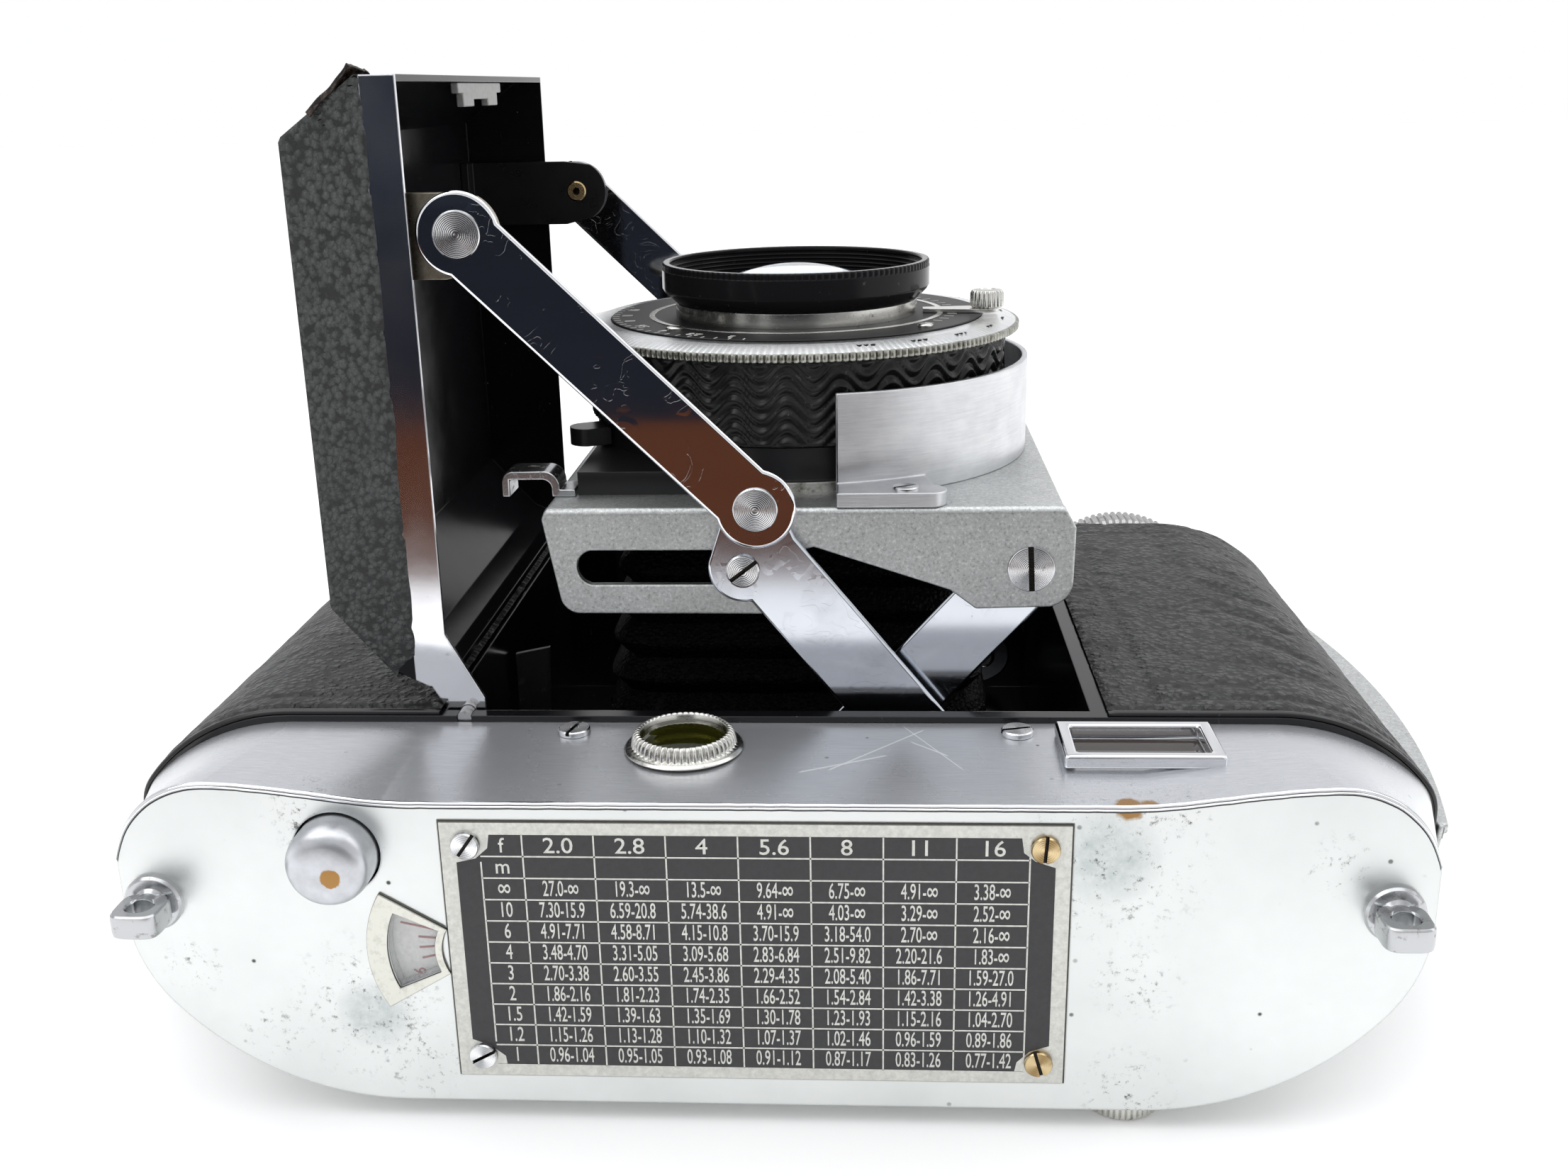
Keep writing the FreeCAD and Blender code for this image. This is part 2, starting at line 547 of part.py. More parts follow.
def door_fittings():
    pin = piece("door_hinge_pin")
    leaf = [("-32.4", "well_floor"), ("-29.6", "well_floor"), ("-28.5", "27.6"),
            ("-32.4", "26.8")]
    add_through(pin, "-5.0", "-4.4", leaf)
    add_both(pin, "door_y - door_wall - 0.5", "door_y + 1.6", ("hinge_x", "hinge_z", "0.7"))
    catch = piece("door_catch")
    for low, high, half in (("catch_mid", "door_top - 0.65", "9.3"),
                            ("catch_low", "catch_mid", "7.4")):
        add_up(catch, low, high, box_path("catch_x", "-" + half, "door_face - 0.1", half))
    cut_up(catch, "80", "catch_low + 0.7", box_path("catch_x - 1", "-3.1", "-30", "3.1"))
    bracket = piece("strut_brackets")
    path = [("-41.8", "71.8"), ("-30.0", "71.8"), ("strut_ax + 1.8", "strut_az - 3.2", "3.7"),
            ("strut_ax + 1.8", "strut_az + 3.2"), ("-30.0", "79.4"), ("-41.8", "79.4")]
    add_both(bracket, "29.0", "29.85", path, ("strut_ax", "strut_az", "1.25"))
    foot = box_path("-42.35", "71.8", "-41.5", "79.4")
    add_both(bracket, "26.5", "29.85", foot)
    rivet = piece("strut_rivets")
    add_both(rivet, "strut_out", "strut_out + 0.22", ("strut_ax", "strut_az", "2.15"))
    add_both(rivet, "28.8", "strut_out", ("strut_ax", "strut_az", "1.2"))


# ---------------------------------------------------------------- struts and links

def bar_path(x_first, z_first, x_last, z_last, half, r_first, r_last):
    """A bar with round ends about two pivots, wider or narrower at each end."""
    ax, az, bx, bz = (value(item) for item in (x_first, z_first, x_last, z_last))
    length = math.hypot(bx - ax, bz - az)
    ux, uz = (bx - ax) / length, (bz - az) / length

    def spot(x, z, along, across):
        return ("%s + %.4f" % (x, ux * along - uz * across),
                "%s + %.4f" % (z, uz * along + ux * across))

    back = math.sqrt(r_first ** 2 - half ** 2) if r_first > half else 0.0
    ahead = math.sqrt(r_last ** 2 - half ** 2) if r_last > half else 0.0
    return [
        spot(x_first, z_first, back, -half), spot(x_last, z_last, -ahead, -half) + (r_last,),
        spot(x_last, z_last, r_last, 0) + (r_last,), spot(x_last, z_last, -ahead, half),
        spot(x_first, z_first, back, half) + (r_first,),
        spot(x_first, z_first, -r_first, 0) + (r_first,),
    ]


def struts():
    body = piece("struts")
    path = bar_path("strut_ax", "strut_az", "strut_bx", "strut_bz", 3.25, 3.8, 3.8)
    add_both(body, "strut_in", "strut_out", path, ("strut_ax", "strut_az", "1.26"),
             ("strut_bx", "strut_bz", "1.51"))
    pins = piece("strut_pins")
    add_both(pins, "strut_out", "strut_out + 0.3", ("strut_bx", "strut_bz", "2.1"))
    add_both(pins, "strut_in - 0.1", "strut_out", ("strut_bx", "strut_bz", "1.5"))


def lower_links():
    body = piece("lower_links")
    path = [("-3.4", "41.1"), ("20.4", "11.6", "3.7"), ("26.0", "16.4"), ("0.9", "47.4"),
            ("-1.4", "52.6", "4.2"), ("-6.2", "48.6"), ("-7.4", "45.0", "3.4")]
    add_both(body, "link_in", "link_out", path, ("foot_x", "foot_z", "1.26"),
             ("slide_x", "slide_z", "slide_pin_r + 0.01"))
    pins = piece("slide_pins")
    add_both(pins, "link_out", "link_out + 0.35", ("slide_x", "slide_z", "1.6"))
    add_both(pins, "plate_in - 0.1", "link_out", ("slide_x", "slide_z", "slide_pin_r"))
    slot_in = box_path("slide_x - 2", "slide_z - 0.15", "slide_x + 2", "slide_z + 0.15")
    cut_both(pins, "link_out + 0.17", "link_out + 1", slot_in)
    feet = piece("foot_pins")
    add_both(feet, "link_out + 0.1", "well_y", ("foot_x", "foot_z", "1.8"))
    add_both(feet, "link_in", "link_out + 0.1", ("foot_x", "foot_z", "1.2"))


def cross_links():
    body = piece("cross_links")
    path = bar_path("rail_x", "rail_z", "cross_x", "cross_z", 3.6, 3.61, 3.61)
    add_both(body, "cross_in", "cross_out", path, ("cross_x", "cross_z", "1.16"))
    add_both(body, "25.2", "cross_in", ("rail_x", "rail_z", "slide_pin_r"))
    rails = piece("link_rails")
    plate = box_path("rail_left - 2", "well_floor", "rail_x + 4", "rail_z + 3.4")
    slot = [("rail_left + slot_half", "rail_z - slot_half"),
            ("rail_x + 0.4", "rail_z - slot_half", "slot_end_r"),
            ("rail_x + 0.4", "rail_z + slot_half"),
            ("rail_left + slot_half", "rail_z + slot_half", "slot_end_r")]
    add_both(rails, "25.4", "26.2", plate, slot)


def wall_guides():
    """Slotted spring strips along both walls of the well."""
    body = piece("wall_guides")
    strip = [("-26.5", "29.8"), ("-26.5", "12.0"), ("-18.5", "12.0"), ("-18.5", "29.8")]
    strip[1] += (4.1,)
    slot = [("-23.4", "28.0"), ("-23.4", "14.0"), ("-21.6", "14.0"), ("-21.6", "28.0")]
    slot[1] += (0.95,)
    add_both(body, "well_y - 0.35", "well_y", strip, slot)


# ---------------------------------------------------------------- lens standard

def standard_frame():
    body = piece("standard_frame")
    side = [("deck_left", "deck_z"), ("-23.3", "49.0"), ("-21.9", "41.1", "1.9"),
            ("-20.2", "39.6"), ("-2.0", "39.5"), ("24.9", "40.2", "2.6"), ("27.1", "42.6"),
            ("27.2", "48.0"), ("deck_right", "deck_z")]
    slot = [("slot_left + slot_half", "slide_z - slot_half"),
            ("-3.2", "slide_z - slot_half", "slot_end_r"), ("-3.2", "slide_z + slot_half"),
            ("slot_left + slot_half", "slide_z + slot_half", "slot_end_r")]
    add_both(body, "plate_in", "plate_out", side, slot, ("cross_x", "cross_z", "1.15"))
    notch = [("-0.6", "38"), ("20.6", "38"), ("15.5", "41.9"), ("2.6", "46.2"),
             ("-0.6", "45.2")]
    cut_both(body, "plate_in - 1", "plate_out + 1", notch)
    deck = box_path("deck_left", "-plate_out", "deck_right", "plate_out")
    add_up(body, "deck_z - 1.2", "deck_z", deck, ("0", "0", "core_r + 0.1"))
    soften(body, "0.6", lambda edge: runs_along("X")(edge)
           and edge.BoundBox.ZMin > value("deck_z") - 0.01
           and abs(edge.BoundBox.YMin) > value("plate_out") - 0.01)


def standard_fittings():
    screws = piece("standard_screws")
    add_both(screws, "plate_out", "plate_out + 0.25", ("cross_x", "cross_z", "2.2"))
    add_both(screws, "cross_in", "plate_out", ("cross_x", "cross_z", "1.1"))
    notch = box_path("cross_x - 0.17", "cross_z - 3", "cross_x + 0.17", "cross_z + 3")
    cut_both(screws, "plate_out + 0.12", "plate_out + 1", notch)
    add_up(screws, "deck_z + 1.4", "deck_z + 1.75", ("11.3", "-26.6", "1.25"))
    hook = piece("stay_hook")
    path = [("-28.0", "deck_z"), ("-27.2", "deck_z"), ("-27.2", "51.7"),
            ("-24.0", "51.7", "-0.9"), ("-23.1", "50.8"), ("-23.1", "deck_z"),
            ("-20.8", "deck_z"), ("-20.8", "50.7"), ("-22.3", "50.7"), ("-22.3", "51.0", "1.55"),
            ("-23.85", "52.55"), ("-26.9", "52.55", "1.1"), ("-28.0", "51.45")]
    add_through(hook, "-23.6", "-19.8", path)
    guard = piece("lens_guard")
    sweep = math.radians(79)
    out_x, out_y = 24.9 * math.cos(sweep), 24.9 * math.sin(sweep)
    in_x, in_y = 24.3 * math.cos(sweep), 24.3 * math.sin(sweep)
    wall = [("%.3f" % out_x, "%.3f" % -out_y, "guard_out"), ("guard_out", "0", "guard_out"),
            ("%.3f" % out_x, "%.3f" % out_y), ("%.3f" % in_x, "%.3f" % in_y, "-guard_in"),
            ("guard_in", "0", "-guard_in"), ("%.3f" % in_x, "%.3f" % -in_y)]
    add_up(guard, "deck_z", "guard_high", wall)
    foot = [("4.8", "-28.3"), ("14.0", "-28.3", "1.7"), ("15.2", "-26.6", "1.9"),
            ("14.0", "-24.9"), ("13.2", "-20.9"), ("4.8", "-24.1")]
    add_up(guard, "deck_z", "deck_z + 1.4", foot, ("11.3", "-26.6", "0.5"))


# ---------------------------------------------------------------- lens and shutter

def lens_parts():
    base = piece("helicoid_base")
    turned(base, [("core_r + 0.1", "deck_z"), ("22.3", "deck_z"), ("22.3", "deck_z + 0.9"),
                  ("21.9", "deck_z + 1.1"), ("21.9", "grip_low - 0.1"),
                  ("core_r + 0.1", "grip_low - 0.1")])
    block = box_path("-20.6", "-22.9", "-9", "22.9")
    add_up(base, "deck_z", "deck_z + 2.3", block)
    cut_up(base, "deck_z - 1", "grip_low", ("0", "0", "core_r + 0.1"))
    grip = piece("focus_ring")
    turned(grip, ring_path("core_r + 0.1", "grip_r", "grip_low", "grip_high"))
    core = piece("shutter_housing")
    turned(core, [("10.2", "44.6"), ("core_r - 2", "44.6"), ("core_r - 2", "47.5"),
                  ("core_r", "47.5"), ("core_r", "speed_high"), ("12.0", "speed_high"),
                  ("12.0", "58.5"), ("10.2", "58.5")])
    speed = piece("speed_ring")
    turned(speed, [("core_r + 0.05", "speed_low"), ("speed_r", "speed_low"),
                   ("speed_r", "speed_low + 0.7"), ("speed_r - 0.8", "speed_high"),
                   ("core_r + 0.05", "speed_high")])
    face = piece("face_plate")
    turned(face, ring_path("11.9", "face_r", "speed_high + 0.02", "face_high"))
    neck = piece("lens_barrel")
    turned(neck, [("glass_r + 0.02", "58.6"), ("11.85", "58.6"), ("11.85", "face_high"),
                  ("neck_r", "face_high"), ("neck_r", "neck_high - 0.1"),
                  ("glass_r + 0.02", "neck_high - 0.1")])
    ring = piece("front_ring")
    turned(ring, [("glass_r + 0.6", "neck_high - 0.05"), ("neck_r", "neck_high - 0.05"),
                  ("front_r", "front_low"), ("front_r", "front_high"),
                  ("filter_r", "front_high"), ("filter_r", "front_low + 0.2"),
                  ("glass_r + 0.6", "front_low - 0.4")])
    front = piece("front_glass")
    turned(front, [("0", "59.0"), ("glass_r", "60.0"), ("glass_r", "65.2"),
                   ("8.0", "66.4"), ("4.2", "67.0"), ("0", "67.2")])
    rear = piece("rear_glass")
    turned(rear, [("0", "46.0"), ("10.15", "46.8"), ("10.15", "49.4"), ("0", "50.2")])
    blades = piece("shutter_blades")
    turned(blades, [("0", "54.6"), ("10.15", "54.6"), ("10.15", "54.9"), ("0", "54.9")])


def shutter_levers():
    cock = piece("cocking_lever")
    arm = [("13.6", "-2.2"), ("20.4", "-3.2", "1.72"), ("20.4", "0.2"), ("13.6", "-0.6")]
    add_up(cock, "face_high + 0.05", "face_high + 0.45", arm)
    add_up(cock, "face_high + 0.45", "face_high + 2.4", ("20.4", "-1.5", "1.8"))
    lever = piece("focus_lever")
    lean = math.radians(207)
    knob = []
    for out, side in ((22.15, -1.8), (24.7, -1.8), (24.7, 1.8), (22.15, 1.8)):
        knob.append(("%.3f" % (out * math.cos(lean) - side * math.sin(lean)),
                     "%.3f" % (out * math.sin(lean) + side * math.cos(lean))))
    knob[1] += ("1.9",)
    add_up(lever, "deck_z + 2.6", "grip_low", knob)


def bellows():
    """Folded leather between the film gate and the lens standard, as one hollow cone."""
    body = piece("bellows")
    for kind, shrink in (("AdditiveLoft", 0.0), ("SubtractiveLoft", 1.0)):
        first = sketch_on(body, "XY_Plane", "well_floor + %s" % (0.1 - shrink * 0.5))
        back_x, back_y = 22.5 - shrink, 16.8 - shrink
        draw_path(first, box_path("-%s" % back_x, "-%s" % back_y, back_x, back_y))
        last = sketch_on(body, "XY_Plane", "44.4 + %s" % (shrink * 0.5))
        front = 18.4 - shrink
        draw_path(last, box_path("-%s" % front, "-%s" % front, front, front))
        made = body.newObject("PartDesign::" + kind, body.Name + "_" + kind)
        made.Profile = first
        made.Sections = [last]
        made.Ruled = True


# ---------------------------------------------------------------- back

def back_parts():
    cover = piece("back_cover")
    add_through(cover, "join_y + 0.15", "far_y - 0.15", body_section("skin_thick"))
    cut_through(cover, "join_y - 1", "far_y + 1", body_section("skin_thick + cover_thick"))
    cut_through(cover, "join_y - 1", "far_y + 1", box_path("-70", "split_z", "70", "60"))
    add_through(cover, "-9.8", "9.8", ("back_pivot_x", "back_pivot_z", "1.25"))
    skin = piece("back_leather")
    add_through(skin, "join_y + 0.15", "far_y - 0.15", body_section("0"))
    cut_through(skin, "join_y - 1", "far_y + 1", body_section("skin_thick"))
    cut_through(skin, "join_y - 1", "far_y + 1", box_path("-70", "split_z", "70", "60"))
    plate = piece("pressure_plate")
    add_up(plate, "1.6", "2.9", box_path("-27", "-17.5", "25", "17.5"))
    spring = piece("pressure_spring")
    add_up(spring, "body_back + skin_thick + cover_thick", "1.6", box_path("-12", "-4", "12", "4"))


def back_hinge():
    """The body's two knuckles outside the left end; the cover has the one between them."""
    barrel = piece("back_hinge_barrel")
    knuckle = ("back_pivot_x", "back_pivot_z", "1.25")
    add_both(barrel, "10", "31", knuckle)


def back_latch():
    """Bright strip with a bowed pull lip on the cover's free end, and its locking slide."""
    strip = piece("back_end_strip")
    add_through(strip, "join_y + 0.6", "far_y - 0.6", body_section("-0.9"))
    cut_through(strip, "join_y - 1", "far_y + 1", body_section("-0.25"))
    cut_through(strip, "join_y - 1", "far_y + 1", box_path("-70", "-20", "50", "60"))
    cut_through(strip, "join_y - 1", "far_y + 1", box_path("40", "-20", "80", "strip_low"))
    cut_through(strip, "join_y - 1", "far_y + 1", box_path("40", "strip_high", "80", "60"))
    lip = box_path("lip_in", "-lip_half", "lip_end", "lip_half")
    lip[1] += ("lip_bow",)
    add_up(strip, "lip_low", "strip_high", lip)
    latch = piece("back_latch")
    add_through(latch, "2.0", "10.0", box_path("62.5", "14.5", "64.4", "lip_low - 0.2"))
    soften(latch, "0.5", lambda edge: edge.BoundBox.XMin > 64.3)


def finish():
    """Stop on any failed object, then write one STEP file for each piece."""
    doc.recompute()
    for item in doc.Objects:
        if "Invalid" in item.State or "Error" in item.State:
            raise RuntimeError("%s is %s" % (item.Label, item.State))
    os.makedirs("parts", exist_ok=True)
    for body in PIECES:
        shape = body.Shape
        if shape.isNull() or not shape.isValid() or not shape.Solids:
            raise RuntimeError("%s has no sound shape" % body.Label)
    for body in PIECES:
        body.Shape.exportStep("parts/%s.step" % body.Label)


body_casting()
leather_wrap("leather_left", -1)
leather_wrap("leather_right", 1)
top_housing()
base_plate()
top_fittings()
strap_lugs()
finder_fittings()
release_button()
film_parts()
tripod_bush()
door_parts()
door_skin()
door_fittings()
struts()
lower_links()
cross_links()
wall_guides()
standard_frame()
standard_fittings()
lens_parts()
shutter_levers()
bellows()
back_parts()
back_hinge()
back_latch()
finish()
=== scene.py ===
import json
import math

import bmesh
import bpy
from mathutils import Matrix, Vector, noise


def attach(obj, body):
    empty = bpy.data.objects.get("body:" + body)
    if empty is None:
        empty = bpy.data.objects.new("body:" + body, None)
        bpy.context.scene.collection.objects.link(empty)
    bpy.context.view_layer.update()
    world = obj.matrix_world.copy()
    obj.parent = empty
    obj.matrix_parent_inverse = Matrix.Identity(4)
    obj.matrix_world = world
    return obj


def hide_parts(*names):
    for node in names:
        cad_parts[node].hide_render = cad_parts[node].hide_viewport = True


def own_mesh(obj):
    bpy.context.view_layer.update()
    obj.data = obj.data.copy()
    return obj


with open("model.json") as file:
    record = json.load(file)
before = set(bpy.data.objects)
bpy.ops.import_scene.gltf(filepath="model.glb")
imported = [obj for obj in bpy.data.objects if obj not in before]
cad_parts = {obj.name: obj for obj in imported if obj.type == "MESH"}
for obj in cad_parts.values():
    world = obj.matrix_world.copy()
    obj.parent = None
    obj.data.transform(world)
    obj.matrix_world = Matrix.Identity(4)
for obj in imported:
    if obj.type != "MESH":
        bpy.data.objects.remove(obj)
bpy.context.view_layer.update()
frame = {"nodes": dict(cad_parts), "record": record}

MM = 0.001
LIFT = 2.0      # added to the drawing's Z, so that the back rests on the floor

# Places in drawing millimetres: X right, Y from top plate to base plate, Z out of the lens.
PLATE_Y, TABLE_Y, BASE_Y = -50.06, -50.31, 38.5     # top plate, its table, base plate
UPPER_Z, FRONT_Z, BACK_Z = 30.3, 31.5, -2.0         # housing's front, leather's front, back
FINDER, EYEPIECE = (-9.15, -38.8, UPPER_Z), (30.9, -45.6, 0)
BUTTON, BUTTON_WEAR = (-38.5, PLATE_Y, 25.0), (-37.9, -53.7, 24.4)
COUNTER, COUNTER_Y = (-25.6, 15.5), -48.6           # middle in X and Z, face of the dial

# The linkage: pivots in X and Z, and how far the heads' faces stand from the middle plane.
STRUT_TOP, STRUT_LOW = (-28.6, 75.8), (-2.7, 50.5)
SLIDE_PIN, CROSS_PIN = (-4.1, 44.2), (23.1, 44.0)
STRUT_OUT, LINK_OUT, SIDE_OUT = 30.65, 29.4, 28.4
GUARD_SCREW = (11.3, -26.6, 51.4)

# The lens: shutter face, foot of the speed ring, crown of the front glass.
FACE_Z, SPEED_Z, FRONT_TOP = 64.5, 62.85, 69.7

# Outline of the body in X and Z, measured from its middle.
MID_X, HALF = -1.23, 62.9
FLAT_FRONT, FLAT_BACK = 47.0, 33.0      # half lengths of the flat front and back
TIGHT, TIGHT_DROP = 5.0, 10.4           # small arc at the brow, depth of its middle
HEEL, HEEL_Z = 16.0, 20.5               # arc at the ends of the back, height of its middle

# The open door: its ends, outer face, half width, where the face slants, and its rim.
DOOR_LOW, DOOR_HIGH, DOOR_FACE, DOOR_HALF = 34.1, 89.45, -43.6, 31.55
SLANT_LOW, SLANT_HIGH, RIM_X = 41.2, 84.2, -35.5

# The distance table: its rules, the width of a column and the rule below the heads.
TABLE_LEFT, TABLE_RIGHT, TABLE_TOP, TABLE_BOTTOM = -25.75, 21.43, 26.98, 3.99
FIRST_RULE, COLUMN, HEAD_Z = -22.05, 6.21, 24.93
TABLE_ROWS = [HEAD_Z - (HEAD_Z - TABLE_BOTTOM) * i / 10 for i in range(11)]


def darker(tone, share):
    """A colour with every channel scaled down to a share of itself."""
    return tuple(channel * share for channel in tone)


# ---------------------------------------------------------------- shader helpers

class Paint:
    """One material and short ways to add nodes to it. Texture space is in millimetres."""

    def __init__(self, name):
        self.material = bpy.data.materials.new(name)
        self.material.use_nodes = True
        self.tree = self.material.node_tree
        self.tree.nodes.clear()
        self.output = self.add("ShaderNodeOutputMaterial")
        self.surface = self.add("ShaderNodeBsdfPrincipled")
        self.join(self.surface.outputs["BSDF"], self.output.inputs["Surface"])
        place = self.add("ShaderNodeTexCoord")
        self.space = self.vector("MULTIPLY", place.outputs["Object"], (1000, 1000, 1000))
        self.normal = self.add("ShaderNodeNewGeometry").outputs["Normal"]
        self.bumps = None

    def add(self, kind, **settings):
        """A new node with its settings."""
        node = self.tree.nodes.new(kind)
        for name, setting in settings.items():
            setattr(node, name, setting)
        return node

    def join(self, source, target):
        """Link an output to an input."""
        self.tree.links.new(source, target)

    def feed(self, socket, content):
        """Link an output to an input, or set the input to a plain value."""
        if isinstance(content, bpy.types.NodeSocket):
            self.join(content, socket)
        else:
            socket.default_value = content

    def vector(self, operation, first, second):
        """The result of an operation on two vectors."""
        node = self.add("ShaderNodeVectorMath", operation=operation)
        self.feed(node.inputs[0], first)
        self.feed(node.inputs[1], second)
        return node.outputs["Value" if operation in ("DISTANCE", "DOT_PRODUCT") else "Vector"]

    def number(self, operation, first, second=0.0, clamp=False):
        """The result of an operation on one or two numbers."""
        node = self.add("ShaderNodeMath", operation=operation, use_clamp=clamp)
        self.feed(node.inputs[0], first)
        self.feed(node.inputs[1], second)
        return node.outputs[0]

    def times(self, first, second):
        """Product of two numbers."""
        return self.number("MULTIPLY", first, second)

    def plus(self, first, second, clamp=False):
        """Sum of two numbers, kept between 0 and 1 by clamp."""
        return self.number("ADD", first, second, clamp)

    def minus(self, first, second):
        """The first number less the second."""
        return self.number("SUBTRACT", first, second)

    def greater(self, first, second):
        """The greater of two numbers."""
        return self.number("MAXIMUM", first, second)

    def absolute(self, source):
        """A number without its sign."""
        return self.number("ABSOLUTE", source)

    def noise(self, size, detail=3.0, rough=0.55, stretch=(1, 1, 1), warp=0.0):
        """Noise whose features are about size millimetres across."""
        node = self.add("ShaderNodeTexNoise")
        self.join(self.vector("MULTIPLY", self.space, stretch), node.inputs["Vector"])
        node.inputs["Scale"].default_value = 1.0 / size
        node.inputs["Detail"].default_value = detail
        node.inputs["Roughness"].default_value = rough
        node.inputs["Distortion"].default_value = warp
        return node.outputs["Fac"]

    def cells(self, size, shift=0.0):
        """Distance from the middle of the nearest cell."""
        node = self.add("ShaderNodeTexVoronoi", feature="F1")
        self.join(self.vector("ADD", self.space, (shift, shift, shift)), node.inputs["Vector"])
        node.inputs["Scale"].default_value = 1.0 / size
        return node.outputs["Distance"]

    def band(self, source, low, high):
        """0 below low and 1 above high, or the other way round."""
        node = self.add("ShaderNodeMapRange")
        node.clamp = True
        self.feed(node.inputs["Value"], source)
        node.inputs["From Min"].default_value = low
        node.inputs["From Max"].default_value = high
        return node.outputs["Result"]

    def mix(self, amount, first, second):
        """The first colour at 0 and the second at 1."""
        node = self.add("ShaderNodeMix", data_type="RGBA")
        self.feed(node.inputs[0], amount)
        for socket, content in ((node.inputs[6], first), (node.inputs[7], second)):
            linked = isinstance(content, bpy.types.NodeSocket)
            self.feed(socket, content if linked else (*content, 1))
        return node.outputs[2]

    def spot(self, place, radius, soft=0.35):
        """1 inside a ragged patch about a place in drawing millimetres."""
        away = self.away(place)
        ragged = self.plus(away, self.times(self.noise(0.9), radius * 0.9))
        return self.band(ragged, radius * (1.45 + soft), radius * 1.45)

    def away(self, place):
        """Distance from a place in drawing millimetres."""
        return self.vector("DISTANCE", self.space, (place[0], place[1], place[2] + LIFT))

    def axis(self, source, index):
        """One part of a vector: 0 for X, 1 for Y, 2 for Z."""
        node = self.add("ShaderNodeSeparateXYZ")
        self.join(source, node.inputs[0])
        return node.outputs[index]

    def bump(self, height, depth, strength=1.0):
        """Stack a bump whose full height is depth millimetres."""
        node = self.add("ShaderNodeBump")
        node.inputs["Strength"].default_value = strength
        node.inputs["Distance"].default_value = depth * MM
        self.feed(node.inputs["Height"], height)
        if self.bumps:
            self.join(self.bumps, node.inputs["Normal"])
        self.bumps = node.outputs["Normal"]

    def scratch(self, size, patch, start, end, strength):
        """Fine curved scratches that show inside patches only."""
        lines = self.band(self.noise(size, 2, 0.3, (1, 1, 1), 2.5), 0.497, 0.5)
        shown = self.band(self.noise(patch, 1), start, end)
        self.bump(self.times(lines, shown), 0.01, strength)

    def bevel(self, radius):
        """Round every edge in the shading by a radius in millimetres."""
        node = self.add("ShaderNodeBevel", samples=4)
        node.inputs["Radius"].default_value = radius * MM
        self.bumps = node.outputs["Normal"]

    def done(self, color=None, metallic=None, rough=None, **others):
        """Fill the surface's inputs and return the material."""
        sockets = {"Base Color": color, "Metallic": metallic, "Roughness": rough}
        sockets.update({name.replace("_", " "): content for name, content in others.items()})
        for name, content in sockets.items():
            if content is None:
                continue
            if isinstance(content, tuple) and len(content) == 3:
                content = (*content, 1)
            self.feed(self.surface.inputs[name], content)
        if self.bumps:
            self.join(self.bumps, self.surface.inputs["Normal"])
        return self.material


# ---------------------------------------------------------------- materials

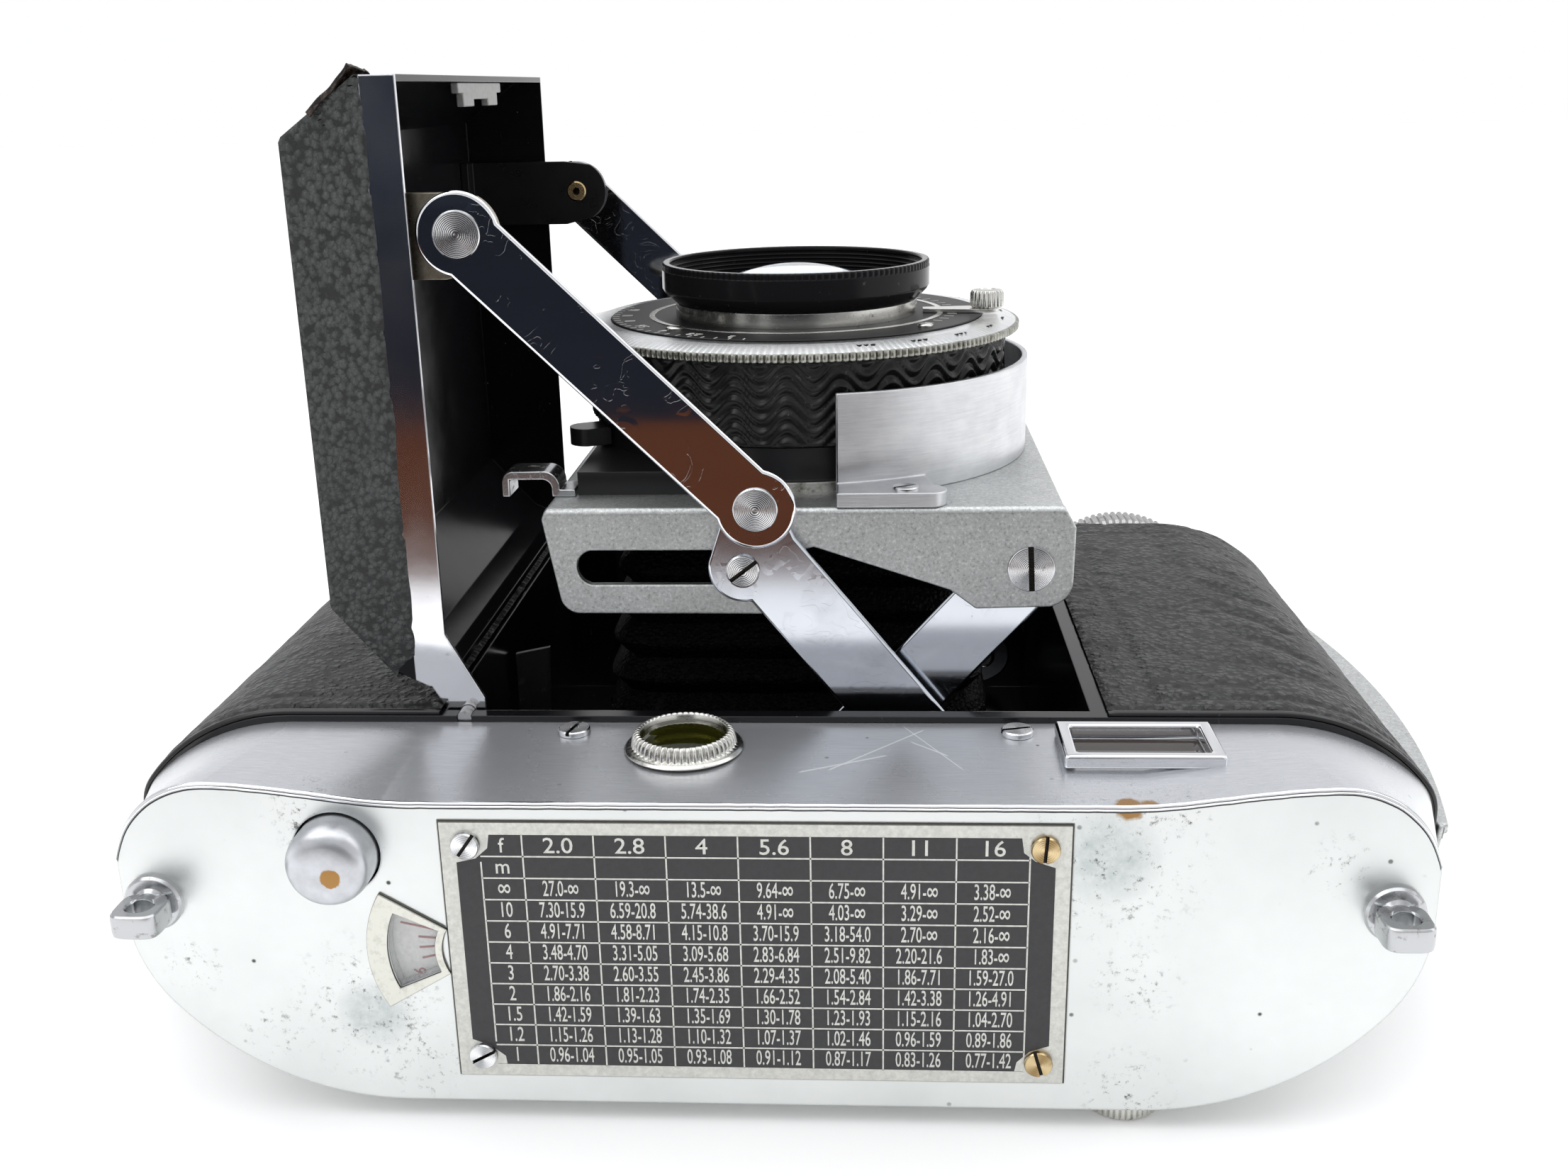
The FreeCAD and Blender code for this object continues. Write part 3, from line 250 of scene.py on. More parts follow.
def satin_chrome():
    """Plated housing: speckled satin, brushed where it faces up, pitted and worn to brass."""
    face = PLATE_Y + 0.06
    paint = Paint("satin_chrome")
    paint.bevel(0.3)
    up = paint.band(paint.axis(paint.normal, 2), 0.55, 0.8)
    brushed = paint.noise(0.13, 4, 0.75, (0.04, 1, 1))
    cloudy = paint.noise(16, 4, 0.6)
    speckle = paint.noise(0.30, 3, 0.7)
    pits = paint.band(paint.cells(3.1), 0.085, 0.045)
    pits = paint.times(pits, paint.band(paint.noise(10, 2), 0.50, 0.60))
    fine = paint.band(paint.noise(0.9, 6, 0.85), 0.56, 0.66)
    places = None
    for x, z, radius in ((-37.0, 9.5, 3.8), (-33.0, 4.2, 2.2), (28.4, 24.6, 4.2),
                         (34.0, 29.0, 1.6), (31.0, 13.0, 2.0), (-52.5, 13.5, 1.5),
                         (30.5, 2.2, 2.2), (-40.5, 29.0, 2.2), (-46.0, 6.5, 1.6),
                         (47.5, 24.5, 1.6)):
        patch = paint.spot((x, face, z), radius, 1.4)
        places = patch if places is None else paint.greater(places, patch)
    grime = paint.times(fine, places)
    dirt = paint.greater(pits, paint.times(grime, 0.95))
    grey = paint.mix(paint.band(cloudy, 0.3, 0.7), (0.66, 0.685, 0.675), (0.77, 0.79, 0.78))
    streak = paint.mix(brushed, (0.42, 0.44, 0.48), (0.74, 0.75, 0.77))
    grey = paint.mix(up, grey, streak)
    grey = paint.mix(dirt, grey, (0.13, 0.14, 0.13))
    smudge = paint.greater(paint.spot((28.0, face, 25.2), 1.9, 1.6),
                           paint.spot((-36.6, face, 9.0), 1.5, 1.6))
    smudge = paint.times(smudge, 0.6)
    grey = paint.mix(paint.times(smudge, paint.noise(1.1, 4, 0.7)), grey, (0.10, 0.16, 0.17))
    worn = paint.greater(paint.spot((29.6, face, 29.9), 1.1),
                         paint.spot((31.2, face + 0.2, 30.3), 0.8))
    x, y = paint.axis(paint.space, 0), paint.axis(paint.space, 1)
    for slope, start, low_x, high_x in ((0.99, -47.6, 4.1, 13.0), (-1.81, -14.1, 10.9, 16.2),
                                        (0.45, -44.6, 1.5, 9.5), (-0.9, -27.0, 11.5, 15.0)):
        away = paint.minus(y, paint.plus(start, paint.times(x, slope)))
        cut = paint.band(paint.absolute(away), 0.19, 0.08)
        cut = paint.times(cut, paint.band(x, low_x, low_x + 0.3))
        cut = paint.times(cut, paint.band(x, high_x, high_x - 0.3))
        cut = paint.times(cut, up)
        grey = paint.mix(paint.times(cut, 0.8), grey, (0.95, 0.96, 0.98))
    color = paint.mix(worn, grey, (0.33, 0.19, 0.075))
    rough = paint.plus(0.27, paint.times(cloudy, 0.12))
    rough = paint.minus(rough, paint.times(up, 0.06))
    rough = paint.plus(rough, paint.times(dirt, 0.3))
    paint.bump(speckle, 0.010, 0.5)
    paint.bump(paint.times(brushed, up), 0.012, 0.5)
    paint.scratch(3.5, 5, 0.55, 0.6, 0.25)
    solid = paint.minus(1.0, paint.times(up, 0.26))
    return paint.done(color, solid, rough)


def bright_chrome(name="polished_chrome", tone=(0.86, 0.87, 0.89), rough=0.03):
    """Polished plating with hairlines, faint cloudiness and specks of dust."""
    paint = Paint(name)
    hair = paint.noise(0.12, 3, 0.7, (1, 0.08, 0.2), 0.6)
    haze = paint.noise(4, 3, 0.6)
    dust = paint.band(paint.cells(2.3), 0.04, 0.02)
    shine = paint.plus(rough, paint.times(haze, 0.05))
    color = paint.mix(paint.band(haze, 0.55, 0.8), tone, darker(tone, 0.86))
    color = paint.mix(paint.times(dust, 0.7), color, (0.25, 0.24, 0.22))
    paint.scratch(3.0, 4, 0.52, 0.58, 0.3)
    paint.bump(hair, 0.002, 0.25)
    return paint.done(color, 1.0, shine)


def nickel(name="nickel", tone=(0.66, 0.655, 0.62), rough=0.22):
    """Turned nickel with dark grime in its hollows."""
    paint = Paint(name)
    paint.bevel(0.10)
    grime = paint.band(paint.noise(1.1, 4, 0.7), 0.58, 0.75)
    color = paint.mix(grime, tone, (0.20, 0.19, 0.16))
    shine = paint.plus(rough, paint.times(grime, 0.35))
    paint.bump(paint.noise(0.2, 3, 0.6), 0.008, 0.4)
    return paint.done(color, 1.0, shine)


def brushed_aluminium():
    """Guard with lines running round it."""
    paint = Paint("brushed_aluminium")
    paint.bevel(0.2)
    lines = paint.noise(0.2, 5, 0.8, (0.05, 0.05, 1))
    broad = paint.noise(5, 3, 0.5)
    stains = paint.band(paint.noise(2.4, 4, 0.6), 0.62, 0.8)
    color = paint.mix(lines, (0.38, 0.39, 0.41), (0.74, 0.75, 0.765))
    color = paint.mix(paint.times(paint.band(broad, 0.4, 0.75), 0.5), color,
                      (0.82, 0.83, 0.83))
    color = paint.mix(stains, color, (0.58, 0.58, 0.56))
    paint.bump(lines, 0.02, 0.7)
    return paint.done(color, 1.0, 0.36)


def standard_silver():
    """Fine speckled satin silver of the lens standard."""
    paint = Paint("standard_silver")
    paint.bevel(0.25)
    grain = paint.noise(0.32, 4, 0.9)
    patches = paint.noise(6, 3)
    color = paint.mix(patches, (0.44, 0.455, 0.45), (0.60, 0.615, 0.61))
    color = paint.mix(paint.band(grain, 0.54, 0.68), color, (0.22, 0.23, 0.23))
    color = paint.mix(paint.band(grain, 0.46, 0.34), color, (0.78, 0.79, 0.785))
    paint.bump(grain, 0.03, 0.7)
    return paint.done(color, 1.0, 0.42)


def black_enamel(name="black_enamel", rim=False):
    """Gloss black with dust and haze; rim leaves the door's outer edges bright chrome."""
    paint = Paint(name)
    paint.bevel(0.2)
    dust = paint.band(paint.cells(1.7), 0.05, 0.025)
    haze = paint.noise(8, 4, 0.6)
    scuff = paint.band(paint.noise(1.2, 5, 0.8, (1, 1, 0.25)), 0.66, 0.76)
    color = paint.mix(dust, (0.005, 0.005, 0.006), (0.14, 0.14, 0.14))
    color = paint.mix(paint.times(scuff, 0.35), color, (0.16, 0.16, 0.165))
    rough = paint.plus(0.07, paint.times(haze, 0.2))
    metallic = 0.0
    if rim:
        side = paint.absolute(paint.axis(paint.space, 1))
        outer = paint.band(side, 30.96, 31.0)
        bright = paint.times(outer, paint.band(paint.axis(paint.space, 0), -35.9, -35.8))
        tone = paint.mix(paint.band(paint.noise(0.7, 5, 0.8), 0.64, 0.72), (0.84, 0.85, 0.88),
                         (0.3, 0.29, 0.28))
        color = paint.mix(bright, color, tone)
        rough = paint.times(rough, paint.minus(1.0, paint.times(bright, 0.35)))
        metallic = bright
    paint.bump(haze, 0.05, 0.12)
    return paint.done(color, metallic, rough, Specular_IOR_Level=0.2 if rim else 0.5)


def two_tone(name, height):
    """Black lacquer above a height and bare nickel below it."""
    paint = Paint(name)
    paint.bevel(0.12)
    low = paint.band(paint.axis(paint.space, 2), height + LIFT + 0.02, height + LIFT - 0.02)
    away = paint.vector("DISTANCE", paint.vector("MULTIPLY", paint.space, (1, 1, 0)), (0, 0, 0))
    low = paint.times(low, paint.band(away, 22.5, 22.4))
    grime = paint.band(paint.noise(1.0, 4, 0.7), 0.5, 0.7)
    bare = paint.mix(grime, (0.62, 0.61, 0.57), (0.22, 0.21, 0.18))
    paint.bump(paint.noise(0.25, 2), 0.006, 0.4)
    return paint.done(paint.mix(low, (0.009, 0.009, 0.010), bare), low, 0.3)


def black_lacquer(name="black_metal", rough=0.30, shine=0.5):
    """Black lacquer rubbed to grey in places."""
    paint = Paint(name)
    paint.bevel(0.12)
    wear = paint.band(paint.noise(0.8, 4, 0.7), 0.66, 0.8)
    color = paint.mix(wear, (0.010, 0.010, 0.011), (0.10, 0.10, 0.10))
    paint.bump(paint.noise(0.25, 2), 0.006, 0.4)
    return paint.done(color, 0.1, rough, Specular_IOR_Level=shine)


def leather(name="black_leather", tone=(0.020, 0.020, 0.021), pebble=0.9, worn=0.55,
            lit_and_rubbed_tone=(0.105, 0.108, 0.108), shine=0.5):
    """Rounded leather grain: pebble tops painted pale as a highlight, more so where rubbed, and
    painted shade in the crevices; pressed smooth in places.
    """
    paint = Paint(name)
    patch = paint.noise(5.5, 4, 0.6)
    warp = paint.noise(1.7, 3)
    bent = paint.add("ShaderNodeVectorMath", operation="MULTIPLY_ADD")
    drift = paint.add("ShaderNodeTexNoise")
    paint.join(paint.space, drift.inputs["Vector"])
    drift.inputs["Scale"].default_value = 1.4 / pebble
    paint.join(drift.outputs["Color"], bent.inputs[0])
    bent.inputs[1].default_value = (pebble * 0.9,) * 3
    paint.join(paint.space, bent.inputs[2])
    straight, paint.space = paint.space, bent.outputs["Vector"]
    domes = paint.cells(pebble)
    small = paint.cells(pebble * 0.5, shift=9.0)
    paint.space = straight
    # The pale pebble tops are a painted highlight, stronger in rubbed patches; the dark crevices
    # between the pebbles are painted shade.
    tops = paint.band(domes, 0.72, 0.18)
    rubbed = paint.times(tops, paint.plus(0.35, paint.times(paint.band(patch, 0.36, 0.66), 0.65)))
    shaded_crevice = paint.mix(tops, darker(tone, 0.35), tone)
    color = paint.mix(paint.times(rubbed, worn), shaded_crevice, lit_and_rubbed_tone)
    rough = paint.minus(0.50, paint.times(rubbed, 0.12))
    paint.bump(warp, 0.16, 0.4)
    paint.bump(paint.band(domes, 0.65, 0.1), 0.20, 1.0)
    paint.bump(paint.band(small, 0.6, 0.1), 0.04, 0.5)
    return paint.done(color, 0.0, rough, Specular_IOR_Level=shine)


def brass(name="brass", tone=(0.50, 0.42, 0.30), dark=(0.15, 0.12, 0.08), black_beyond=None):
    """Tarnished metal, painted black beyond a value of Y where one is given."""
    paint = Paint(name)
    paint.bevel(0.15)
    tarnish = paint.noise(2.6, 5, 0.7)
    color = paint.mix(paint.band(tarnish, 0.42, 0.66), tone, dark)
    metallic = 1.0
    if black_beyond is not None:
        far = paint.band(paint.axis(paint.space, 1), black_beyond, black_beyond + 0.1)
        color = paint.mix(far, color, (0.006, 0.006, 0.007))
        metallic = paint.minus(1.0, far)
    paint.bump(paint.noise(0.3), 0.015, 0.4)
    return paint.done(color, metallic, paint.plus(0.16, paint.times(tarnish, 0.3)))


def rubber():
    """Black rubber with dust in it."""
    paint = Paint("grip_rubber")
    dust = paint.band(paint.noise(1.0, 5, 0.85), 0.62, 0.70)
    color = paint.mix(dust, (0.007, 0.007, 0.007), (0.12, 0.12, 0.11))
    paint.bump(paint.noise(0.2, 3), 0.02, 0.4)
    return paint.done(color, 0.0, 0.30, Specular_IOR_Level=0.32)


def glass(name, tint, rough=0.02, clear=0.85, inside_shade_at=None, bend=1.5):
    """Coated glass; where a place is given, the tint stays round that place as painted shade of
    the dark inside, and the rest is clear.
    """
    paint = Paint(name)
    smear = paint.noise(3, 3)
    paint.bump(smear, 0.003, 0.15)
    # The dark tint round the given place is painted shade of the dark inside behind the window.
    if inside_shade_at:
        tint = paint.mix(paint.band(paint.away(inside_shade_at), 6.0, 6.2), tint, (0.96, 0.97, 0.97))
    return paint.done(tint, 0.0, rough, Transmission_Weight=clear, IOR=bend)


def spun(name, dark, pale):
    """Metal faced on a lathe: fine rings, sectors painted light and dark as its highlight, and
    painted shade in its slots.
    """
    paint = Paint(name)
    x, y, z = (paint.axis(paint.space, i) for i in range(3))
    lying = paint.band(paint.absolute(paint.axis(paint.normal, 2)), 0.6, 0.8)
    across = paint.plus(paint.times(z, paint.minus(1.0, lying)), paint.times(y, lying))
    angle = paint.number("ARCTAN2", across, x)
    # The bright and dark sectors are a painted highlight of the turned finish, set by the angle
    # about the head.
    wave = paint.number("COSINE", paint.plus(paint.times(angle, 2.0), 0.9))
    away = paint.vector("DISTANCE", paint.space, (0, 0, 0))
    rings = paint.number("SINE", paint.times(away, 42.0))
    shine = paint.plus(paint.times(wave, 0.42), 0.55)
    shine = paint.plus(shine, paint.times(rings, 0.06))
    dirt = paint.band(paint.noise(0.8, 4, 0.7), 0.60, 0.72)
    color = paint.mix(paint.plus(shine, 0.0, True), dark, pale)
    color = paint.mix(paint.times(dirt, 0.6), color, (0.12, 0.11, 0.09))
    # Painted shade, with some dirt, darkens the low bottoms of the slots.
    upright = paint.times(paint.absolute(y), paint.minus(1.0, lying))
    height = paint.plus(upright, paint.times(z, lying))
    color = paint.mix(paint.band(height, 0.19, 0.15), color, (0.02, 0.018, 0.015))
    paint.bump(rings, 0.01, 0.5)
    return paint.done(color, 1.0, 0.24)


def dial_ring():
    """Bright bevelled ring with a dull, dirty knurled rim."""
    paint = Paint("dial_ring")
    flat = paint.vector("MULTIPLY", paint.space, (1, 1, 0))
    away = paint.vector("DISTANCE", flat, (0, 0, 0))
    rim = paint.band(away, 23.50, 23.58)
    rings = paint.number("SINE", paint.times(away, 60.0))
    grime = paint.band(paint.noise(1.3, 4, 0.7), 0.42, 0.70)
    bright = paint.mix(paint.times(grime, 0.2), (0.84, 0.86, 0.87), (0.4, 0.4, 0.36))
    dull = paint.mix(grime, (0.42, 0.42, 0.38), (0.13, 0.13, 0.10))
    paint.bump(rings, 0.006, 0.4)
    rough = paint.plus(0.2, paint.times(rim, 0.12))
    return paint.done(paint.mix(rim, bright, dull), 1.0, rough)


def side_shaded(name, face, side):
    """Plating that stays bright on the faces towards the viewer, with painted shade on its other
    sides.
    """
    paint = Paint(name)
    paint.bevel(0.12)
    # Faces that do not point along Y are painted dark as shade; random stains dull the bright
    # faces.
    level = paint.absolute(paint.axis(paint.normal, 1))
    stain = paint.band(paint.noise(0.9, 4, 0.7), 0.5, 0.7)
    bright = paint.mix(paint.times(stain, 0.5), face, darker(face, 0.55))
    paint.bump(stain, 0.01, 0.3)
    return paint.done(paint.mix(paint.band(level, 0.6, 0.85), side, bright), 1.0, 0.3)


def worn_button():
    """Polished cap rubbed through to brass in the middle."""
    paint = Paint("button_chrome")
    haze = paint.noise(3, 4, 0.6)
    hair = paint.noise(0.15, 3, 0.7)
    ragged = paint.plus(paint.away(BUTTON_WEAR), paint.times(paint.noise(0.5), 0.35))
    core = paint.band(ragged, 1.12, 1.0)
    color = paint.mix(paint.band(haze, 0.45, 0.7), (0.62, 0.64, 0.67), (0.50, 0.51, 0.53))
    color = paint.mix(core, color, (0.38, 0.21, 0.075))
    paint.bump(hair, 0.008, 0.5)
    return paint.done(color, 1.0, paint.plus(0.30, paint.times(haze, 0.12)))


def thin_glass():
    """A pane so thin that it only dulls what lies under it."""
    paint = Paint("thin_glass")
    paint.bump(paint.noise(3, 3), 0.003, 0.15)
    return paint.done((0.8, 0.82, 0.82), 0.0, 0.05, Alpha=0.12)


def plain(name, color, rough=0.5, metallic=0.0):
    """A printed or painted colour with a slight mottle."""
    paint = Paint(name)
    mottle = paint.noise(0.5, 4, 0.7)
    dim = darker(color, 0.72)
    paint.bump(mottle, 0.01, 0.3)
    return paint.done(paint.mix(paint.band(mottle, 0.35, 0.75), color, dim), metallic, rough)


MATERIALS = {
    "satin_chrome": satin_chrome(),
    "polished_chrome": bright_chrome(),
    "nickel": nickel(),
    "ring_steel": nickel("ring_steel", (0.60, 0.60, 0.575), 0.26),
    "lug_chrome": nickel("lug_chrome", (0.50, 0.51, 0.52), 0.2),
    "link_chrome": bright_chrome("link_chrome", (0.62, 0.65, 0.70), 0.10),
    "frame_chrome": side_shaded("frame_chrome", (0.66, 0.66, 0.60), (0.07, 0.07, 0.055)),
    "knob_steel": nickel("knob_steel", (0.42, 0.42, 0.415), 0.3),
    "grime": plain("grime", (0.07, 0.066, 0.055), 0.7),
    "catch_grey": plain("catch_grey", (0.30, 0.30, 0.29), 0.4, 0.3),
    "spun_steel": spun("spun_steel", (0.30, 0.31, 0.32), (0.86, 0.87, 0.88)),
    "spun_brass": spun("spun_brass", (0.26, 0.17, 0.07), (0.66, 0.52, 0.30)),
    "dial_ring": dial_ring(),
    "brushed_aluminium": brushed_aluminium(),
    "standard_silver": standard_silver(),
    "black_enamel": black_enamel(),
    "door_enamel": black_enamel("door_enamel", True),
    "black_metal": black_lacquer(),
    "ring_black": black_lacquer("ring_black", 0.13, 0.12),
    "face_black": black_lacquer("face_black", 0.42, 0.2),
    "base_metal": two_tone("base_metal", 50.95),
    "black_leather": leather(pebble=0.75, worn=0.42, shine=0.32),
    "door_leather": leather("door_leather", (0.038, 0.041, 0.040), 0.6, 0.55,
                            (0.070, 0.076, 0.074)),
    "worn_leather": leather("worn_leather", (0.022, 0.013, 0.009), 0.7, 0.4, (0.13, 0.08, 0.05)),
    "bellows_leather": leather("bellows_leather", (0.003, 0.003, 0.003), 0.5, 0.1,
                               (0.02, 0.02, 0.02), 0.08),
    "brass": brass(),
    "bracket_metal": brass("bracket_metal", (0.46, 0.42, 0.33), (0.20, 0.17, 0.12), 0.0),
    "grip_rubber": rubber(),
    "clear_glass": glass("clear_glass", (0.85, 0.9, 0.88)),
    # Dark brown glass: painted shade of the dark inside seen through the window.
    "smoked_glass": glass("smoked_glass", (0.10, 0.08, 0.07), 0.03, 0.6),
    "thin_glass": thin_glass(),
    "lens_glass": glass("lens_glass", (0.80, 0.86, 0.90), 0.015, 0.9, None, 2.2),
    "window_glass": glass("window_glass", (0.13, 0.13, 0.02), 0.02, 0.9, FINDER),
    "spring_steel": nickel("spring_steel", (0.5, 0.5, 0.5), 0.3),
    "table_print": plain("table_print", (0.022, 0.022, 0.024), 0.45),
    "table_black": plain("table_black", (0.030, 0.030, 0.032), 0.5),
    "table_silver": plain("table_silver", (0.64, 0.64, 0.60), 0.35, 0.6),
    "button_chrome": worn_button(),
    "dial_white": plain("dial_white", (0.74, 0.74, 0.72), 0.5),
    "dial_red": plain("dial_red", (0.30, 0.02, 0.03), 0.5),
    "figure_white": plain("figure_white", (0.70, 0.70, 0.66), 0.5),
    "figure_black": plain("figure_black", (0.02, 0.02, 0.02), 0.5),
}
SPECIAL = {"standard_frame": "standard_silver", "window_glasses": "window_glass",
           "distance_table": "table_silver", "door_pan": "door_enamel",
           "helicoid_base": "base_metal", "door_hinge_pin": "spring_steel",
           "strut_brackets": "bracket_metal", "counter_frame": "satin_chrome",
           "door_catch": "standard_silver", "rangefinder_prism": "black_metal",
           "back_end_strip": "standard_silver"}


def set_material(thing, name):
    """Leave one material on a piece."""
    thing.data.materials.clear()
    thing.data.materials.append(MATERIALS[name])


def paint_frame():
    """Give every CAD node the material of its slot."""
    for part in frame["record"]["subparts"]:
        node = part["node"]
        set_material(frame["nodes"][node], SPECIAL.get(node, part["material_slot"]))


# ---------------------------------------------------------------- mesh helpers

def real(point):
    """A place in drawing millimetres as metres in the frame."""
    return Vector((point[0], point[1], point[2] + LIFT)) * MM


def placed(name, data):
    """A new object in the scene."""
    thing = bpy.data.objects.new(name, data)
    bpy.context.scene.collection.objects.link(thing)
    return thing


def enter(thing, body, slot, material, stands_for=()):
    """Give a piece its material, or the slot's when none is named, put it on its body, and hide
    the nodes it stands for.
    """
    set_material(thing, material or slot)
    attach(thing, body)
    if stands_for:
        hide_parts(*stands_for)


def make(name, points, faces, body, slot, material=None, stands_for=(), sharp=35, origin=None):
    """A piece from points in millimetres that rides on a body and takes a slot's finish."""
    mesh = bpy.data.meshes.new(name)
    middle = real(origin) if origin else Vector()
    mesh.from_pydata([real(point) - middle for point in points], [], faces)
    work = bmesh.new()
    work.from_mesh(mesh)
    bmesh.ops.recalc_face_normals(work, faces=work.faces)
    work.to_mesh(mesh)
    work.free()
    for polygon in mesh.polygons:
        polygon.use_smooth = True
    mesh.set_sharp_from_angle(angle=math.radians(sharp))
    thing = placed(name, mesh)
    thing.location = middle
    bpy.context.view_layer.update()
    enter(thing, body, slot, material, stands_for)
    return thing


def grid_faces(columns, rows, wrap_columns=False, wrap_rows=False):
    """Quads between neighbouring points of a grid that is stored column by column."""
    faces = []
    for column in range(columns if wrap_columns else columns - 1):
        for row in range(rows if wrap_rows else rows - 1):
            ahead, above = (column + 1) % columns, (row + 1) % rows
            faces.append((column * rows + row, column * rows + above,
                          ahead * rows + above, ahead * rows + row))
    return faces


def lathe(profile, steps, place=(0, 0, 0), turn="Z", carve=None):
    """A closed profile of radius and height turned about an axis; carve moves its points."""
    points = []
    for step in range(steps):
        angle = math.tau * step / steps
        for row, (radius, height) in enumerate(profile):
            if carve:
                radius, height = carve(row, angle, radius, height)
            across, along = radius * math.cos(angle), radius * math.sin(angle)
            local = {"Z": (across, along, height), "Y": (across, height, along),
                     "-Y": (across, -height, along)}[turn]
            points.append(tuple(a + b for a, b in zip(place, local)))
    return points, grid_faces(steps, len(profile), True, True)


def prism(outline, low, high, axis="Z"):
    """A flat outline given depth along Z, or along Y with the outline in X and Z."""
    count = len(outline)
    points = []
    for level in (low, high):
        for a, b in outline:
            points.append((a, b, level) if axis == "Z" else (a, level, b))
    faces = [tuple(range(count)), tuple(reversed(range(count, 2 * count)))]
    for i in range(count):
        j = (i + 1) % count
        faces.append((i, j, count + j, count + i))
    return points, faces


def many(solids):
    """Several point and face lists as one."""
    points, faces = [], []
    for new_points, new_faces in solids:
        base = len(points)
        points += new_points
        faces += [tuple(base + i for i in face) for face in new_faces]
    return points, faces


def slab(x_low, x_high, y_low, y_high, z_low, z_high):
    """A box between two places on each axis."""
    return prism([(x_low, y_low), (x_high, y_low), (x_high, y_high), (x_low, y_high)],
                 z_low, z_high)


def arc(x, z, radius, first, last, step=0.5):
    """Points with outward normals along an arc in X and Z."""
    count = max(2, round(abs(last - first) * radius / step))
    spots = []
    for i in range(count + 1):
        angle = first + (last - first) * i / count
        nx, nz = math.cos(angle), math.sin(angle)
        spots.append((x + radius * nx, z + radius * nz, nx, nz))
    return spots


def line(start, end, normal, step=0.5):
    """Points with one outward normal along a straight line in X and Z."""
    count = max(1, round(math.dist(start, end) / step))
    return [(start[0] + (end[0] - start[0]) * i / count,
             start[1] + (end[1] - start[1]) * i / count, *normal) for i in range(count + 1)]


def softened(node, body, slot, radius, material=None):
    """A copy of a CAD piece with its sharp edges rounded."""
    flat, sharp, crease = (math.radians(angle) for angle in (0.8, 30, 40))
    source = frame["nodes"][node]
    work = bmesh.new()
    work.from_mesh(source.data)
    work.transform(source.matrix_world)
    bmesh.ops.remove_doubles(work, verts=work.verts, dist=2e-6)
    bmesh.ops.dissolve_limit(work, angle_limit=flat, verts=work.verts, edges=work.edges)
    edges = [edge for edge in work.edges
             if edge.is_manifold and edge.calc_face_angle(0) > sharp]
    rounded = bmesh.ops.bevel(work, geom=edges, offset=radius * MM, segments=4, profile=0.5,
                              affect="EDGES", clamp_overlap=False)
    new = set(rounded["faces"])
    for face in work.faces:
        face.smooth = True
    for edge in work.edges:
        border = len({face in new for face in edge.link_faces}) == 2
        edge.smooth = not border and edge.calc_face_angle(0) < crease
    mesh = bpy.data.meshes.new(node + "_soft")
    work.to_mesh(mesh)
    work.free()
    enter(placed(node + "_soft", mesh), body, slot, material, (node,))


def head(x, y, z, radius, rise, slot_angle=None, turn="-Y"):
    """A domed rivet or a slotted screw head standing on a face."""
    flip = {"-Y": -1, "Y": 1, "Z": 1}[turn]
    if slot_angle is None:
        profile = [(0.01, -0.05), (radius, -0.05), (radius, rise * 0.45),
                   (radius * 0.95, rise * 0.8), (radius * 0.6, rise), (0.01, rise * 1.05)]
        return [lathe(profile, 64, (x, y, z), turn)]
    solids = [lathe([(0.01, -0.05), (radius, -0.05), (radius, rise * 0.3), (0.01, rise * 0.3)],
                    64, (x, y, z), turn)]
    gap = math.asin(0.13)
    for half in (0, 1):
        first, last = half * math.pi + gap, (half + 1) * math.pi - gap
        angles = [slot_angle + first + (last - first) * i / 24 for i in range(25)]
        layers = []
        for scale, level in ((1.0, 0.25), (1.0, 0.75), (0.93, 1.0)):
            outline = [(x + radius * scale * math.cos(a), radius * scale * math.sin(a))
                       for a in angles]
            for across, along in outline:
                if turn == "Z":
                    layers.append((across, y + along, z + rise * level))
                else:
                    layers.append((across, y + flip * rise * level, z + along))
        faces = [tuple(range(25)), tuple(50 + i for i in range(25))]
        faces += [(a + i, a + (i + 1) % 25, a + 25 + (i + 1) % 25, a + 25 + i)
                  for a in (0, 25) for i in range(25)]
        solids.append((layers, faces))
    return solids


